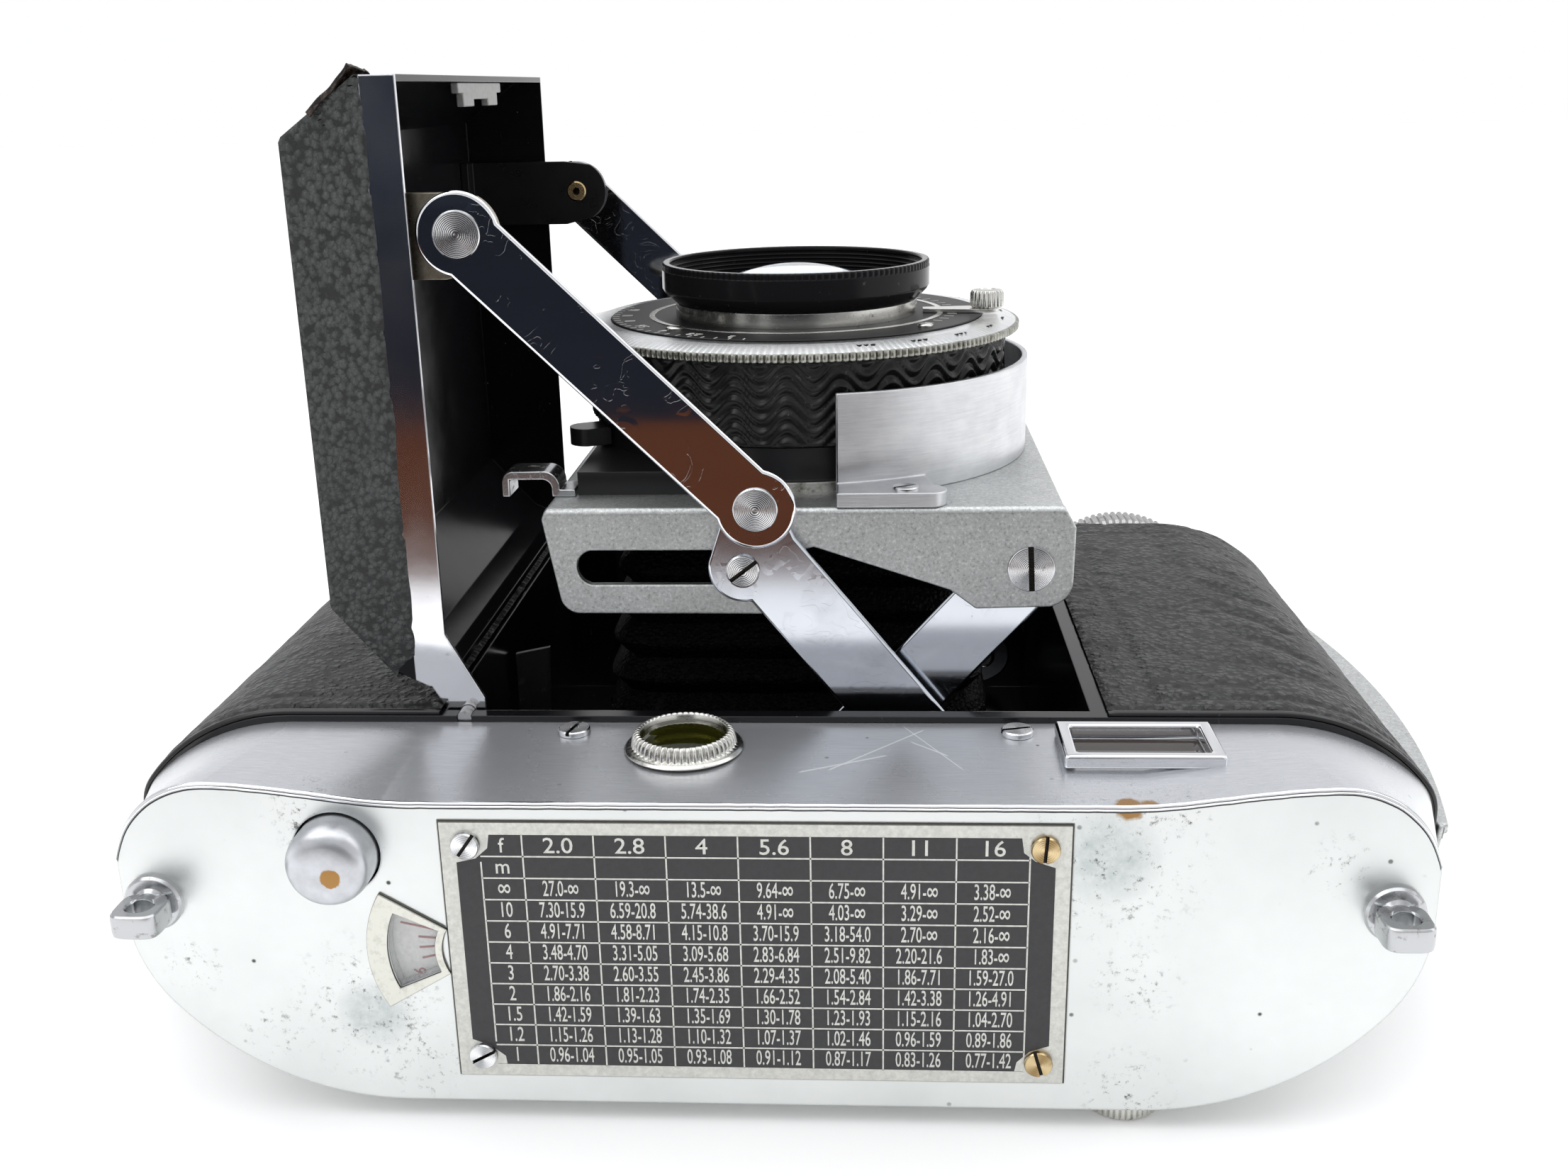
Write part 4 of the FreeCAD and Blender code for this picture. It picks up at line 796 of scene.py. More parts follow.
def heads():
    """Rivets and screws, each turned on a lathe, with a painted highlight in two sectors."""
    pins = (("rivet_top", "door", STRUT_TOP, STRUT_OUT, 2.15, 0.34, None, "strut_rivets"),
            ("rivet_low", "strut", STRUT_LOW, STRUT_OUT, 2.1, 0.38, None, "strut_pins"),
            ("slide_screw", "lower_link", SLIDE_PIN, LINK_OUT, 1.6, 0.4, 0.65, "slide_pins"),
            ("cross_screw", "standard", CROSS_PIN, SIDE_OUT, 2.2, 0.27, 1.62, "standard_screws"))
    for name, body, (x, z), y, radius, rise, angle, node in pins:
        make(name, *many(head(x, -y, z, radius, rise, angle)), body, "nickel", "spun_steel",
             (node,), 30, (x, -y, z))
        make(name + "_far", *many(head(x, y, z, radius, rise, angle, "Y")), body, "nickel",
             "spun_brass" if name == "rivet_top" else "spun_steel", (), 30, (x, y, z))
    shank = [(0.45, 28.8), (1.05, 28.8), (1.2, 28.95), (1.2, 30.62), (0.45, 30.62)]
    middle = (STRUT_TOP[0], 0, STRUT_TOP[1])
    make("rivet_shanks", *many([lathe(shank, 48, middle, turn) for turn in ("Y", "-Y")]),
         "door", "nickel", "spun_brass")
    make("guard_screw", *many(head(*GUARD_SCREW, 1.25, 0.3, 0.5, "Z")), "standard",
         "nickel", "spun_steel", (), 30, GUARD_SCREW)
    first = ("cover_screws",)
    for index, (x, z, angle, tone) in enumerate((
            (-27.0, 26.0, 0.95, "spun_steel"), (22.7, 26.0, 1.5, "spun_brass"),
            (-27.0, 5.0, 0.5, "spun_steel"), (22.7, 5.0, 1.85, "spun_brass"))):
        make("table_screw_%d" % index, *many(head(x, TABLE_Y, z, 1.25, 0.5, angle)),
             "camera_body", "nickel", tone, first, 30, (x, TABLE_Y, z))
        first = ()
    for index, (x, angle) in enumerate(((-19.9, 1.3), (21.5, 0.25))):
        spot = (x, -35.6, UPPER_Z)
        make("band_screw_%d" % index, *many(head(*spot, 1.5, 0.5, angle, "Z")),
             "camera_body", "nickel", "spun_steel", (), 30, spot)


def soft_pieces():
    """Bent and stamped pieces with the rounded edges that polishing leaves."""
    for node, body, slot, radius, material in (
            ("struts", "strut", "polished_chrome", 0.33, None),
            ("lower_links", "lower_link", "polished_chrome", 0.3, "link_chrome"),
            ("cross_links", "cross_link", "polished_chrome", 0.3, "link_chrome"),
            ("lens_guard", "standard", "brushed_aluminium", 0.12, None),
            ("standard_frame", "standard", "brushed_aluminium", 0.2, "standard_silver"),
            ("stay_hook", "standard", "nickel", 0.13, "lug_chrome"),
            ("viewfinder_frame", "camera_body", "satin_chrome", 0.3, "polished_chrome"),
            ("counter_frame", "camera_body", "nickel", 0.12, "frame_chrome"),
            ("back_end_strip", "back", "nickel", 0.3, "standard_silver"),
            ("door_catch", "door", "nickel", 0.15, "catch_grey")):
        softened(node, body, slot, radius, material)


def lugs():
    """Strap lugs: round foot, waist and a squared eye with a round hole."""
    solids, height_z, eye_y = [], 20.2, -52.95

    def squared(row, angle, radius, height):
        """Push the outer points of the eye out to a rounded square."""
        if radius > 1.7:
            radius *= (abs(math.cos(angle)) ** 4 + abs(math.sin(angle)) ** 4) ** -0.25
        return radius, height

    for x in (-55.3, 52.2):
        foot = [(0.01, -0.4), (2.6, -0.4), (2.6, 0.5), (2.4, 0.75), (1.6, 0.8), (1.3, 1.1),
                (1.3, 2.2), (0.01, 2.2)]
        solids.append(lathe(foot, 64, (x, PLATE_Y, height_z), "-Y"))
        eye = [(1.15, -0.9), (1.3, -1.1), (1.95, -1.1), (2.1, -0.95), (2.15, -0.6), (2.15, 0.6),
               (2.1, 0.95), (1.95, 1.1), (1.3, 1.1), (1.15, 0.9)]
        solids.append(lathe(eye, 72, (x, eye_y, height_z), "Z", squared))
    make("lug_eyes", *many(solids), "camera_body", "polished_chrome", "lug_chrome",
         ("strap_lugs",))


def plate_edge():
    """Rounded lip along the front edge of the top plate, with a thin dark line of painted shade
    in the angle below it.
    """
    flat, top, drop = 48.5, 31.7, 8.0
    end = 57.0 - TIGHT
    broad = ((end - flat) ** 2 + drop ** 2 - TIGHT ** 2) / (2 * (drop - TIGHT))
    lean = math.atan2(broad - drop, end - flat)
    half = [(0.0, 29.9), (33.0, 29.9), (44.0, 31.4), (flat, top)]
    half += [(x, z) for x, z, _, _ in arc(flat, top - broad, broad, math.pi / 2, lean)]
    half += [(x, z) for x, z, _, _ in arc(end, 23.7, TIGHT, lean, 0.2)]
    path = [(MID_X - x, z) for x, z in reversed(half[1:])] + [(MID_X + x, z) for x, z in half]
    dense = []
    for (ax, az), (bx, bz) in zip(path, path[1:]):
        count = max(1, round(math.dist((ax, az), (bx, bz)) / 0.7))
        dense += [(ax + (bx - ax) * i / count, az + (bz - az) * i / count)
                  for i in range(count)]
    smooth = []
    for i in range(len(dense)):
        near_by = dense[max(0, i - 4):i + 5]
        smooth.append((sum(p[0] for p in near_by) / len(near_by),
                       sum(p[1] for p in near_by) / len(near_by)))
    # The second, thin dark tube is painted shade in the angle under the lip.
    for name, y, sink, radius, material in (
            ("plate_lip", PLATE_Y + 0.03, 0.22, 0.30, "polished_chrome"),
            ("plate_lip_shade", PLATE_Y + 0.09, 0.55, 0.14, "table_black")):
        points = []
        for i, (x, z) in enumerate(smooth):
            wave = 0.04 * noise.noise(Vector((x * 0.8, 0, 0)))
            for k in range(8):
                angle = math.tau * k / 8
                points.append((x, y - radius * math.cos(angle),
                               z - sink + wave + radius * math.sin(angle)))
        make(name, points, grid_faces(len(smooth), 8, False, True), "camera_body",
             "satin_chrome", material, (), 180)


def panes():
    """Eyepiece and finder glasses; the clear pane over the counter is a separate piece."""
    finder = lathe([(0.01, -1.4), (3.95, -1.4), (3.95, 1.0), (2.6, 1.2), (0.01, 1.28)], 64,
                   FINDER)
    eye = lathe([(0.01, -0.4), (2.5, -0.4), (2.5, 0.6), (0.01, 0.8)], 48, EYEPIECE)
    make("finder_glass", *many([finder, eye]), "camera_body", "clear_glass", "window_glass",
         ("window_glasses",))
    # The window pane's dark brown tint is painted shade of the camera's dark inside.
    make("window_pane", *slab(26.15, 37.75, -42.55, -36.65, 29.5, 30.2), "camera_body",
         "clear_glass", "smoked_glass")
    outline = []
    for radius, signs in ((9.1, range(-6, 7)), (5.1, range(6, -7, -1))):
        for i in signs:
            angle = math.radians(23 * i / 6)
            outline.append((COUNTER[0] - radius * math.cos(angle),
                            COUNTER[1] - radius * math.sin(angle)))
    make("counter_pane", *prism(outline, PLATE_Y + 0.1, PLATE_Y + 0.3, "Y"), "camera_body",
         "clear_glass", "thin_glass")


# ---------------------------------------------------------------- leather

def corner(flat, height, tight):
    """Radius of the broad arc and the direction in which it meets the tight one."""
    broad = ((HALF - tight - flat) ** 2 + height ** 2 - tight ** 2) / (2 * (height - tight))
    lean = math.atan2(broad - height, HALF - tight - flat)
    return broad, lean


def end_path(side, inner_x, split_z):
    """Outline round one end of the body, from the door well to the split of the back."""
    broad, lean = corner(FLAT_FRONT, TIGHT_DROP, TIGHT)
    path = line((inner_x, FRONT_Z), (MID_X + side * FLAT_FRONT, FRONT_Z), (0, 1))
    brow = arc(FLAT_FRONT, FRONT_Z - broad, broad, math.pi / 2, lean)
    brow += arc(HALF - TIGHT, FRONT_Z - TIGHT_DROP, TIGHT, lean, 0)
    brow += heel_path(split_z)
    path += [(MID_X + side * x, z, side * nx, nz) for x, z, nx, nz in brow]
    return path


def heel_path(split_z):
    """Outline down the end of the body as far as the split, for the right side."""
    drop = math.asin((split_z - HEEL_Z) / HEEL)
    return arc(HALF - HEEL, HEEL_Z, HEEL, 0, drop)


def back_path(split_z):
    """Outline of the back from split to split, round both heels."""
    broad, lean = corner(FLAT_BACK, HEEL_Z - BACK_Z, HEEL)
    drop = math.asin((split_z - HEEL_Z) / HEEL)
    half = arc(HALF - HEEL, HEEL_Z, HEEL, drop, -lean)
    half += arc(FLAT_BACK, BACK_Z + broad, broad, -lean, -math.pi / 2)
    half += [(x, BACK_Z, 0, -1) for x in (30, 25, 20, 15, 10, 5, 0)]
    right = [(MID_X + x, z, nx, nz) for x, z, nx, nz in half]
    left = [(MID_X - x, z, -nx, nz) for x, z, nx, nz in reversed(half[:-1])]
    return right + left


def tidy_path(path):
    """The path without points that lie on top of each other."""
    kept = [path[0]]
    for spot in path[1:]:
        if math.dist(spot[:2], kept[-1][:2]) > 0.02:
            kept.append(spot)
    return kept


def wrinkles(x, y, z, seed=0.0):
    """Height of soft swells and sharp creases of old leather, in millimetres."""
    here = Vector((x, y, z))
    swell = noise.noise(here / 6.0 + Vector((seed, 0, 0)))
    fold = noise.noise(Vector((x / 9.0, y / 5.0 + seed, z / 9.0)) + here * 0.02)
    ripple = noise.noise(Vector((x / 2.6, y / 3.2, z / 2.6 + seed)))
    crease = max(0.0, 1 - abs(fold) / 0.07)
    return 0.10 * swell - 0.13 * crease + 0.05 * ripple


def skin(path, low, high, relief, thick=0.55, step=0.5):
    """A sheet over a path in X and Z and between two values of Y, with rounded borders."""
    path = tidy_path(path)
    length = [0.0]
    for first, second in zip(path, path[1:]):
        length.append(length[-1] + math.dist(first[:2], second[:2]))
    rows = round((high - low) / step) + 1
    points = []
    for (x, z, nx, nz), far in zip(path, length):
        for row in range(-1, rows + 1):
            y = low + (high - low) * min(max(row, 0), rows - 1) / (rows - 1)
            edge = min(far, length[-1] - far, y - low, high - y)
            rise = relief(x, y, z, far) - 0.25 * max(0.0, 1 - edge / 0.6) ** 2
            if row in (-1, rows):
                rise = -thick
            points.append((x + nx * rise, y, z + nz * rise))
    return points, grid_faces(len(path), rows + 2)


def groove(distance, width, depth):
    """A rounded groove at a distance from its middle line."""
    return -depth * max(0.0, 1 - abs(distance) / width)


def right_relief(x, y, z, far):
    """Creases, a pressed border line and a row of slanting pressed bars."""
    rise = wrinkles(x, y, z, 3.0) * 1.3
    rise += groove(x - 34.9, 0.8, 0.32) if y > -29.5 else 0.0
    rise += groove(y + 29.5, 0.8, 0.32) if x > 34.9 else 0.0
    bar = (y * 0.5 + far * 0.25 + 100) % 4.2 - 2.1
    inside = max(0.0, 1 - abs(far - 20.0) / 5.0) * max(0.0, 1 - (abs(y + 4) / 21.0) ** 4)
    return rise + groove(bar, 1.2, 0.55) * min(1.0, inside * 2.0)


def left_relief(x, y, z, far):
    """Creases and a pressed border line."""
    rise = wrinkles(x, y, z, 9.0)
    return rise + (groove(y + 29.5, 0.45, 0.20) if far > 2 else 0.0)


def leathers():
    """Leather round both ends, over the back, and the black edge beside it."""
    near, far = -33.2, 33.2
    ends = (("leather_skin_left", -1, -33.4, left_relief, "leather_left"),
            ("leather_skin_right", 1, 30.25, right_relief, "leather_right"))
    beads = []
    for name, side, inner_x, relief, node in ends:
        path = end_path(side, inner_x, 10.3)
        points, faces = skin(path, near + 0.95, far - 0.1, relief)
        make(name, points, faces, "camera_body", "black_leather", stands_for=(node,), sharp=60)
        beads.append(skin(path, near + 0.1, near + 0.85, lambda *a: -0.02, 0.5, 0.15))
    points, faces = many(beads)
    make("edge_beads", points, faces, "camera_body", "black_enamel", sharp=60)
    path = back_path(10.0)
    points, faces = skin(path, near + 0.15, far - 0.15,
                         lambda x, y, z, s: min(0.0, wrinkles(x, y, z, 5.0) - 0.04), step=0.8)
    make("leather_skin_back", points, faces, "back", "black_leather",
         stands_for=("back_leather",), sharp=60)


def door_edge(z):
    """Where the door's outer face stands at a height, with its two slanting ends."""
    if z > SLANT_HIGH:
        return DOOR_FACE + (z - SLANT_HIGH) * 7.3 / 5.3
    if z < SLANT_LOW:
        return DOOR_FACE + (SLANT_LOW - z) * 5.9 / 7.1
    return DOOR_FACE


def door_leather():
    """Leather over the door's face and sides, creased where it turns the corners."""
    points, corner_y, foot = [], DOOR_HALF - 0.3, 36.4
    levels = [DOOR_LOW + (DOOR_HIGH - DOOR_LOW) * i / 120 for i in range(121)]
    across = [i / 16 for i in range(17)]
    for z in levels:
        edge = door_edge(z)
        start = RIM_X
        if z <= foot:
            start += (foot - z) * (edge - RIM_X) / 2.3 * 0.98
        start = max(min(start, RIM_X), edge + 0.05)
        ends = min(z - DOOR_LOW, DOOR_HIGH - z)
        row = []
        for side in (1, -1):
            part = []
            for t in across:
                x = start + (edge + 0.5 - start) * t
                dip = 0.22 * max(0.0, 1 - (start - x) / 0.5) ** 2
                dip += 0.2 * max(0.0, 1 - ends / 0.5) ** 2
                rise = wrinkles(x, side * 40, z, 1.0) * 0.9 - dip
                part.append((x, side * (DOOR_HALF + min(0.08, rise) - 0.05), z))
            part.append((edge + 0.15, side * (corner_y + 0.15), z))
            row += part[::side]
            if side > 0:
                for y in (corner_y - corner_y * 2 * i / 126 for i in range(1, 126)):
                    rise = wrinkles(edge, y, z, 1.0) - 0.2 * max(0.0, 1 - ends / 0.5) ** 2
                    rise -= 0.18 * max(0.0, 1 - abs(z - 62 - y * 0.15) / 0.5) * (abs(y) < 14)
                    row.append((edge - min(0.1, rise), y, z))
        first, last = row[0], row[-1]
        points += [(first[0], first[1] - 0.18, z), *row, (last[0], last[1] + 0.18, z)]
    faces = grid_faces(len(levels), len(points) // len(levels))
    make("door_skin", points, faces, "door", "black_leather", "door_leather",
         stands_for=("door_leather",), sharp=60)


def pull_tab():
    """Peeled corner of the door's leather, curling up beside the top of the rim."""
    rows, columns = 15, 9
    points = []
    for thick in (0.0, 0.5):
        for i in range(columns):
            side = i / (columns - 1)
            for j in range(rows):
                s = j / (rows - 1)
                curl = (1.0 * s * s + 0.15 * math.sin(s * 5)) * (1 - side) ** 0.7
                frayed = 0.35 * noise.noise(Vector((side * 6, s * 3, 7))) * s
                out = curl + frayed + 0.05 - thick * (1 - 0.5 * s)
                x = -40.6 + 4.5 * s - 0.587 * out
                z = 86.38 + 3.27 * s + 0.81 * out
                points.append((x, -31.75 + 4.4 * side, z))
    shift = rows * columns
    sheet = grid_faces(columns, rows)
    faces = sheet + [tuple(reversed([shift + i for i in face])) for face in sheet]
    border = [i * rows for i in range(columns)]
    border += [(columns - 1) * rows + j for j in range(1, rows)]
    border += [i * rows + rows - 1 for i in reversed(range(columns - 1))]
    border += list(reversed(range(1, rows - 1)))
    faces += [(a, b, b + shift, a + shift) for a, b in zip(border, border[1:] + border[:1])]
    make("worn_edge", points, faces, "door", "black_leather", "worn_leather", sharp=60)


# ---------------------------------------------------------------- lens

def wave_grip():
    """Moulded grip: seven rows of rounded waves round the focusing ring."""
    low, high, rows = 54.4, 62.7, 66

    def carve(row, angle, radius, height):
        """Sink the outer rows between the crests of the waves."""
        if row >= rows:
            return radius, height
        phase = math.tau * (height - 0.95 * math.sin(27 * angle)) / 1.35
        crest = (0.5 + 0.5 * math.cos(phase)) ** 0.8
        fade = min(1.0, (height - low) / 0.3, (high - height) / 0.3)
        return radius - 0.42 * (1 - crest * fade), height

    profile = [(22.5, low + (high - low) * i / (rows - 1)) for i in range(rows)]
    profile += [(20.1, high), (20.1, low)]
    make("wave_grip", *lathe(profile, 432, carve=carve), "focus", "grip_rubber",
         stands_for=("focus_ring",), sharp=80)


def teeth(count, depth, rows, sharpness=0.4):
    """A carve that cuts straight knurling into the given rows of a profile."""

    def carve(row, angle, radius, height):
        """Sink the point unless it is on the crest of a tooth."""
        if row in rows:
            radius -= depth * (1 - abs(math.sin(count * angle / 2)) ** sharpness)
        return radius, height

    return carve


def speed_ring():
    """Bright ring with a knurled rim that sets the speed."""
    profile = [(20.05, SPEED_Z), (23.6, SPEED_Z), (23.85, 62.95), (23.9, 63.05), (23.9, 63.6),
               (23.85, 63.68), (23.5, 63.74), (21.6, 64.3), (20.15, 64.34), (20.05, 64.34)]
    make("speed_knurl", *lathe(profile, 1320, carve=teeth(220, 0.26, (1, 2, 3, 4, 5), 0.55)),
         "speed", "nickel", "dial_ring", ("speed_ring",), 40)


def face_disc():
    """Black face inside the speed ring."""
    profile = [(11.9, 64.36), (19.95, 64.36), (19.95, 64.42), (19.85, FACE_Z), (11.9, FACE_Z)]
    make("face_disc", *lathe(profile, 256), "lens_block", "black_metal", "face_black",
         ("face_plate",), 30)


def filter_ring():
    """Front ring with its filter thread and a finely knurled edge."""
    bore, crest, pitch, first = 13.5, 13.72, 0.45, 69.75
    thread = []
    for turn in range(5):
        thread += [(bore, first - pitch * turn), (crest, first - 0.22 - pitch * turn)]
    profile = [(11.4, 66.05), (13.0, 66.05), (13.2, 66.2), (14.1, 67.1), (14.35, 67.5),
               (14.35, 69.45), (14.3, 69.5), (14.3, 70.0), (14.2, 70.14), (13.62, 70.14),
               (bore, 70.0)]
    profile += thread + [(bore, 67.55), (12.7, 67.5), (12.6, 67.1), (11.5, 66.95), (10.9, 66.4)]
    make("filter_ring", *lathe(profile, 640, carve=teeth(128, 0.13, (6, 7, 8), 0.8)),
         "lens_block", "black_metal", "ring_black", ("front_ring",), 30)


def front_element():
    """Domed front glass."""
    edge, curve, steps = 10.8, 18.5, 18
    radii = [edge * i / steps for i in range(1, steps + 1)]
    dome = [(r, FRONT_TOP - curve + math.sqrt(curve ** 2 - r ** 2)) for r in radii]
    profile = [(0.01, 59.0), (edge, 60.0)] + list(reversed(dome)) + [(0.01, FRONT_TOP)]
    make("front_element", *lathe(profile, 96), "lens_block", "clear_glass", "lens_glass",
         ("front_glass",), 30)


def finder_rings():
    """Knurled rings round the finder window and the eyepiece."""
    profile = [(3.99, 0.0), (5.5, 0.0), (5.35, 0.22), (5.1, 0.3), (4.85, 0.34), (4.85, 0.45),
               (4.8, 0.8), (4.7, 1.15), (4.55, 1.45), (4.3, 1.62), (4.08, 1.56), (3.99, 1.4)]
    make("finder_knurl", *lathe(profile, 384, FINDER,
                                carve=teeth(48, 0.30, (5, 6, 7, 8, 9), 0.9)),
         "camera_body", "nickel", None, ("rangefinder_ring",), 50)
    profile = [(2.6, -1.9), (3.3, -1.9), (3.55, -1.75), (3.6, -1.6), (3.6, -0.2), (3.55, 0.0),
               (3.0, 0.0), (3.0, 2.2), (2.6, 2.2)]
    make("eyepiece_knurl", *lathe(profile, 320, EYEPIECE,
                                  carve=teeth(40, 0.22, (2, 3, 4, 5), 0.7)),
         "camera_body", "nickel", None, ("eyepiece_ring",), 40)


def release_button():
    """Domed button on its stem."""
    dome = [(0.01, 3.7), (1.2, 3.68), (2.2, 3.6), (2.9, 3.42), (3.35, 3.1), (3.6, 2.65),
            (3.7, 2.1)]
    profile = [(0.01, -4.5), (1.6, -4.5), (1.6, -1.8), (3.7, -1.8)] + list(reversed(dome))
    make("button_cap", *lathe(profile, 96, BUTTON, "-Y"), "button", "polished_chrome",
         "button_chrome", ("release_button",), 40)


def base_knobs():
    """Winding and rewinding knobs with knurled rims and turned hollows."""
    for name, node, body, x, z, radius, count in (
            ("wind_knurl", "wind_knob", "wind", 42.3, 17.8, 12.4, 84),
            ("rewind_knurl", "rewind_knob", "rewind", -48.0, 15.6, 8.0, 56)):
        profile = [(0.01, -7.8), (2.2, -7.8), (2.2, 0.3), (radius - 0.5, 0.3), (radius, 0.8),
                   (radius, 5.0), (radius - 0.35, 5.5), (radius - 1.0, 5.6),
                   (radius - 1.2, 5.35), (radius - 1.9, 5.35), (radius - 2.1, 5.7),
                   (radius * 0.45, 5.95), (radius * 0.42, 5.5), (radius * 0.3, 5.5),
                   (radius * 0.27, 5.95), (0.01, 6.0)]
        make(name, *lathe(profile, count * 6, (x, BASE_Y, z), "Y",
                          teeth(count, 0.4, (3, 4, 5, 6), 0.5)), body, "nickel",
             "knob_steel", (node,), 35)


def cocking_knob():
    """Knurled knob on its lever at the rim of the shutter face."""
    arm = prism([(13.6, -2.2), (20.4, -3.1), (21.4, -2.5), (21.7, -1.5), (21.4, -0.4),
                 (20.4, 0.1), (13.6, -0.6)], 64.55, 64.95)
    profile = [(0.01, 64.95), (1.5, 64.95), (1.8, 65.15), (1.8, 66.5), (1.6, 66.8), (0.9, 66.9),
               (0.8, 66.75), (0.01, 66.75)]
    knob = lathe(profile, 160, (20.4, -1.5, 0), carve=teeth(20, 0.16, (1, 2, 3, 4), 0.7))
    make("cocking_knurl", *many([arm, knob]), "cocking", "nickel",
         stands_for=("cocking_lever",), sharp=40)


def bellows():
    """Folded leather cone with soft pleats, from the film gate to the standard."""
    folds, per = 9, 8
    low, high = 8.65, 44.3
    points = []
    levels = folds * per + 1
    corners = 96
    for level in range(levels):
        t = level / (levels - 1)
        pleat = abs(((level / per) % 1) * 2 - 1)
        back = Vector((22.3, 16.6))
        front = Vector((18.2, 18.2))
        half = back.lerp(front, t) - Vector((1.5, 1.5)) * (1 - pleat) ** 1.1
        for i in range(corners):
            angle = math.tau * i / corners
            c, s = math.cos(angle), math.sin(angle)
            round_off = (abs(c) ** 10 + abs(s) ** 10) ** -0.1
            sag = 0.25 * noise.noise(Vector((c * 3, s * 3, t * 20)))
            points.append((c * round_off * half.x, s * round_off * half.y,
                           low + (high - low) * t + sag * (0 < level < levels - 1)))
    piece = make("bellows_folds", points, grid_faces(levels, corners, False, True),
                 "camera_body", "bellows_leather", stands_for=("bellows",), sharp=70)
    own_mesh(piece)


# ---------------------------------------------------------------- printed figures

def lettering(name, entries, body, slot, material):
    """Raised figures: each entry is text, size, width factor and a placing matrix in mm."""
    work = bmesh.new()
    for text, size, width, place in entries:
        curve = bpy.data.curves.new("figure", "FONT")
        curve.body = text
        curve.size = size
        curve.align_x = "CENTER"
        curve.align_y = "CENTER"
        curve.extrude = 0.02
        curve.resolution_u = 3
        curve.offset = 0.012
        holder = bpy.data.objects.new("figure", curve)
        flat = bpy.data.meshes.new_from_object(holder)
        flat.transform(Matrix.Diagonal((width, 1, 1, 1)))
        flat.transform(place)
        work.from_mesh(flat)
        bpy.data.objects.remove(holder)
        bpy.data.curves.remove(curve)
        bpy.data.meshes.remove(flat)
    mesh = bpy.data.meshes.new(name)
    work.to_mesh(mesh)
    work.free()
    mesh.transform(Matrix.Diagonal((MM, MM, MM, 1)) @ Matrix.Translation((0, 0, LIFT)))
    enter(placed(name, mesh), body, slot, material)


FACING = Matrix.Rotation(math.pi / 2, 4, "X")


def on_plate(x, z, y):
    """Place figures upright in X and Z, facing away from the body."""
    return Matrix.Translation((x, y, z)) @ FACING


def focus_span(stop, distance):
    """Nearest and furthest sharp distance in metres for a 50 mm lens."""
    limit = 54.0 / stop
    if distance is None:
        return limit, None
    near = limit * distance / (limit + distance)
    far = limit * distance / (limit - distance) if distance < limit else None
    return near, far


def written(metres):
    """A distance as the table prints it."""
    if metres is None:
        return "∞"
    return "%.1f" % metres if metres >= 10 else "%.2f" % metres


def table_field():
    """Black field with its corners cut back for the screws."""
    outline = [(-27.9, 24.3), (-27.9, 6.6), (-26.3, 6.0), (-25.0, 4.9), (-24.9, TABLE_BOTTOM),
               (20.6, TABLE_BOTTOM), (20.8, 5.0), (21.9, 6.1), (23.6, 6.7), (23.6, 24.2),
               (21.9, 24.8), (20.9, 25.6), (20.7, TABLE_TOP), (-24.9, TABLE_TOP), (-25.1, 25.7),
               (-26.2, 24.7)]
    make("table_field", *prism(outline, TABLE_Y - 0.02, TABLE_Y + 0.03, "Y"), "camera_body",
         "table_print", "table_black")


def table_rules():
    """Raised lines between the columns and rows."""
    thick = 0.07
    uprights = [FIRST_RULE + COLUMN * column for column in range(8)]
    boxes = [(x - thick, x + thick, TABLE_BOTTOM, TABLE_TOP) for x in uprights]
    boxes.append((TABLE_LEFT - thick, TABLE_LEFT + thick, 6.4, 24.4))
    boxes += [(TABLE_LEFT, TABLE_RIGHT, z - thick, z + thick) for z in TABLE_ROWS]
    lines = [slab(left, right, TABLE_Y - 0.045, TABLE_Y, low, high)
             for left, right, low, high in boxes]
    make("table_lines", *many(lines), "camera_body", "nickel", "table_silver")


def table_grime():
    """Dirt in the angle round the table's plate."""
    plate = frame["nodes"]["distance_table"]
    spots = [(plate.matrix_world @ Vector(spot)) / MM for spot in plate.bound_box]
    x_low, x_high = min(s.x for s in spots), max(s.x for s in spots)
    z_low, z_high = min(s.z for s in spots) - LIFT, max(s.z for s in spots) - LIFT
    dirt, under, face, root = 0.16, 0.02, PLATE_Y - 0.04, PLATE_Y + 0.06
    strips = ((x_low - dirt, x_low + under, z_low - dirt, z_high + dirt),
              (x_high - under, x_high + dirt, z_low - dirt, z_high + dirt),
              (x_low, x_high, z_high - under, z_high + dirt),
              (x_low, x_high, z_low - dirt, z_low + under))
    make("table_grime", *many([slab(left, right, face, root, low, high)
                               for left, right, low, high in strips]),
         "camera_body", "table_print", "grime")


def table_figures():
    """Depth of field for each stop and distance, worked out for the lens."""
    stops = (2.0, 2.8, 4, 5.6, 8, 11, 16)
    distances = (None, 10, 6, 4, 3, 2, 1.5, 1.2, 1)
    print_y, title_z = TABLE_Y - 0.02, 25.93
    margin = (TABLE_LEFT + FIRST_RULE) / 2
    middles = [(above + below) / 2 for above, below in zip(TABLE_ROWS[1:], TABLE_ROWS[2:])]
    entries = []
    for column, stop in enumerate(stops):
        x = FIRST_RULE + COLUMN * (column + 0.5)
        label = "2.0" if stop == 2.0 else "%g" % stop
        entries.append((label, 2.1, 1.05, on_plate(x, title_z, print_y)))
        for z, distance in zip(middles, distances):
            near, far = focus_span(stop, distance)
            entries.append((written(near) + "-" + written(far), 2.15, 0.50,
                            on_plate(x, z, print_y)))
    for text, z in (("f", title_z), ("m", 23.9)):
        entries.append((text, 2.0, 0.9, on_plate(margin, z, print_y)))
    for z, distance in zip(middles, distances):
        label = "∞" if distance is None else "%g" % distance
        entries.append((label, 2.1, 0.6, on_plate(margin, z, print_y)))
    lettering("table_figures", entries, "camera_body", "nickel", "table_silver")


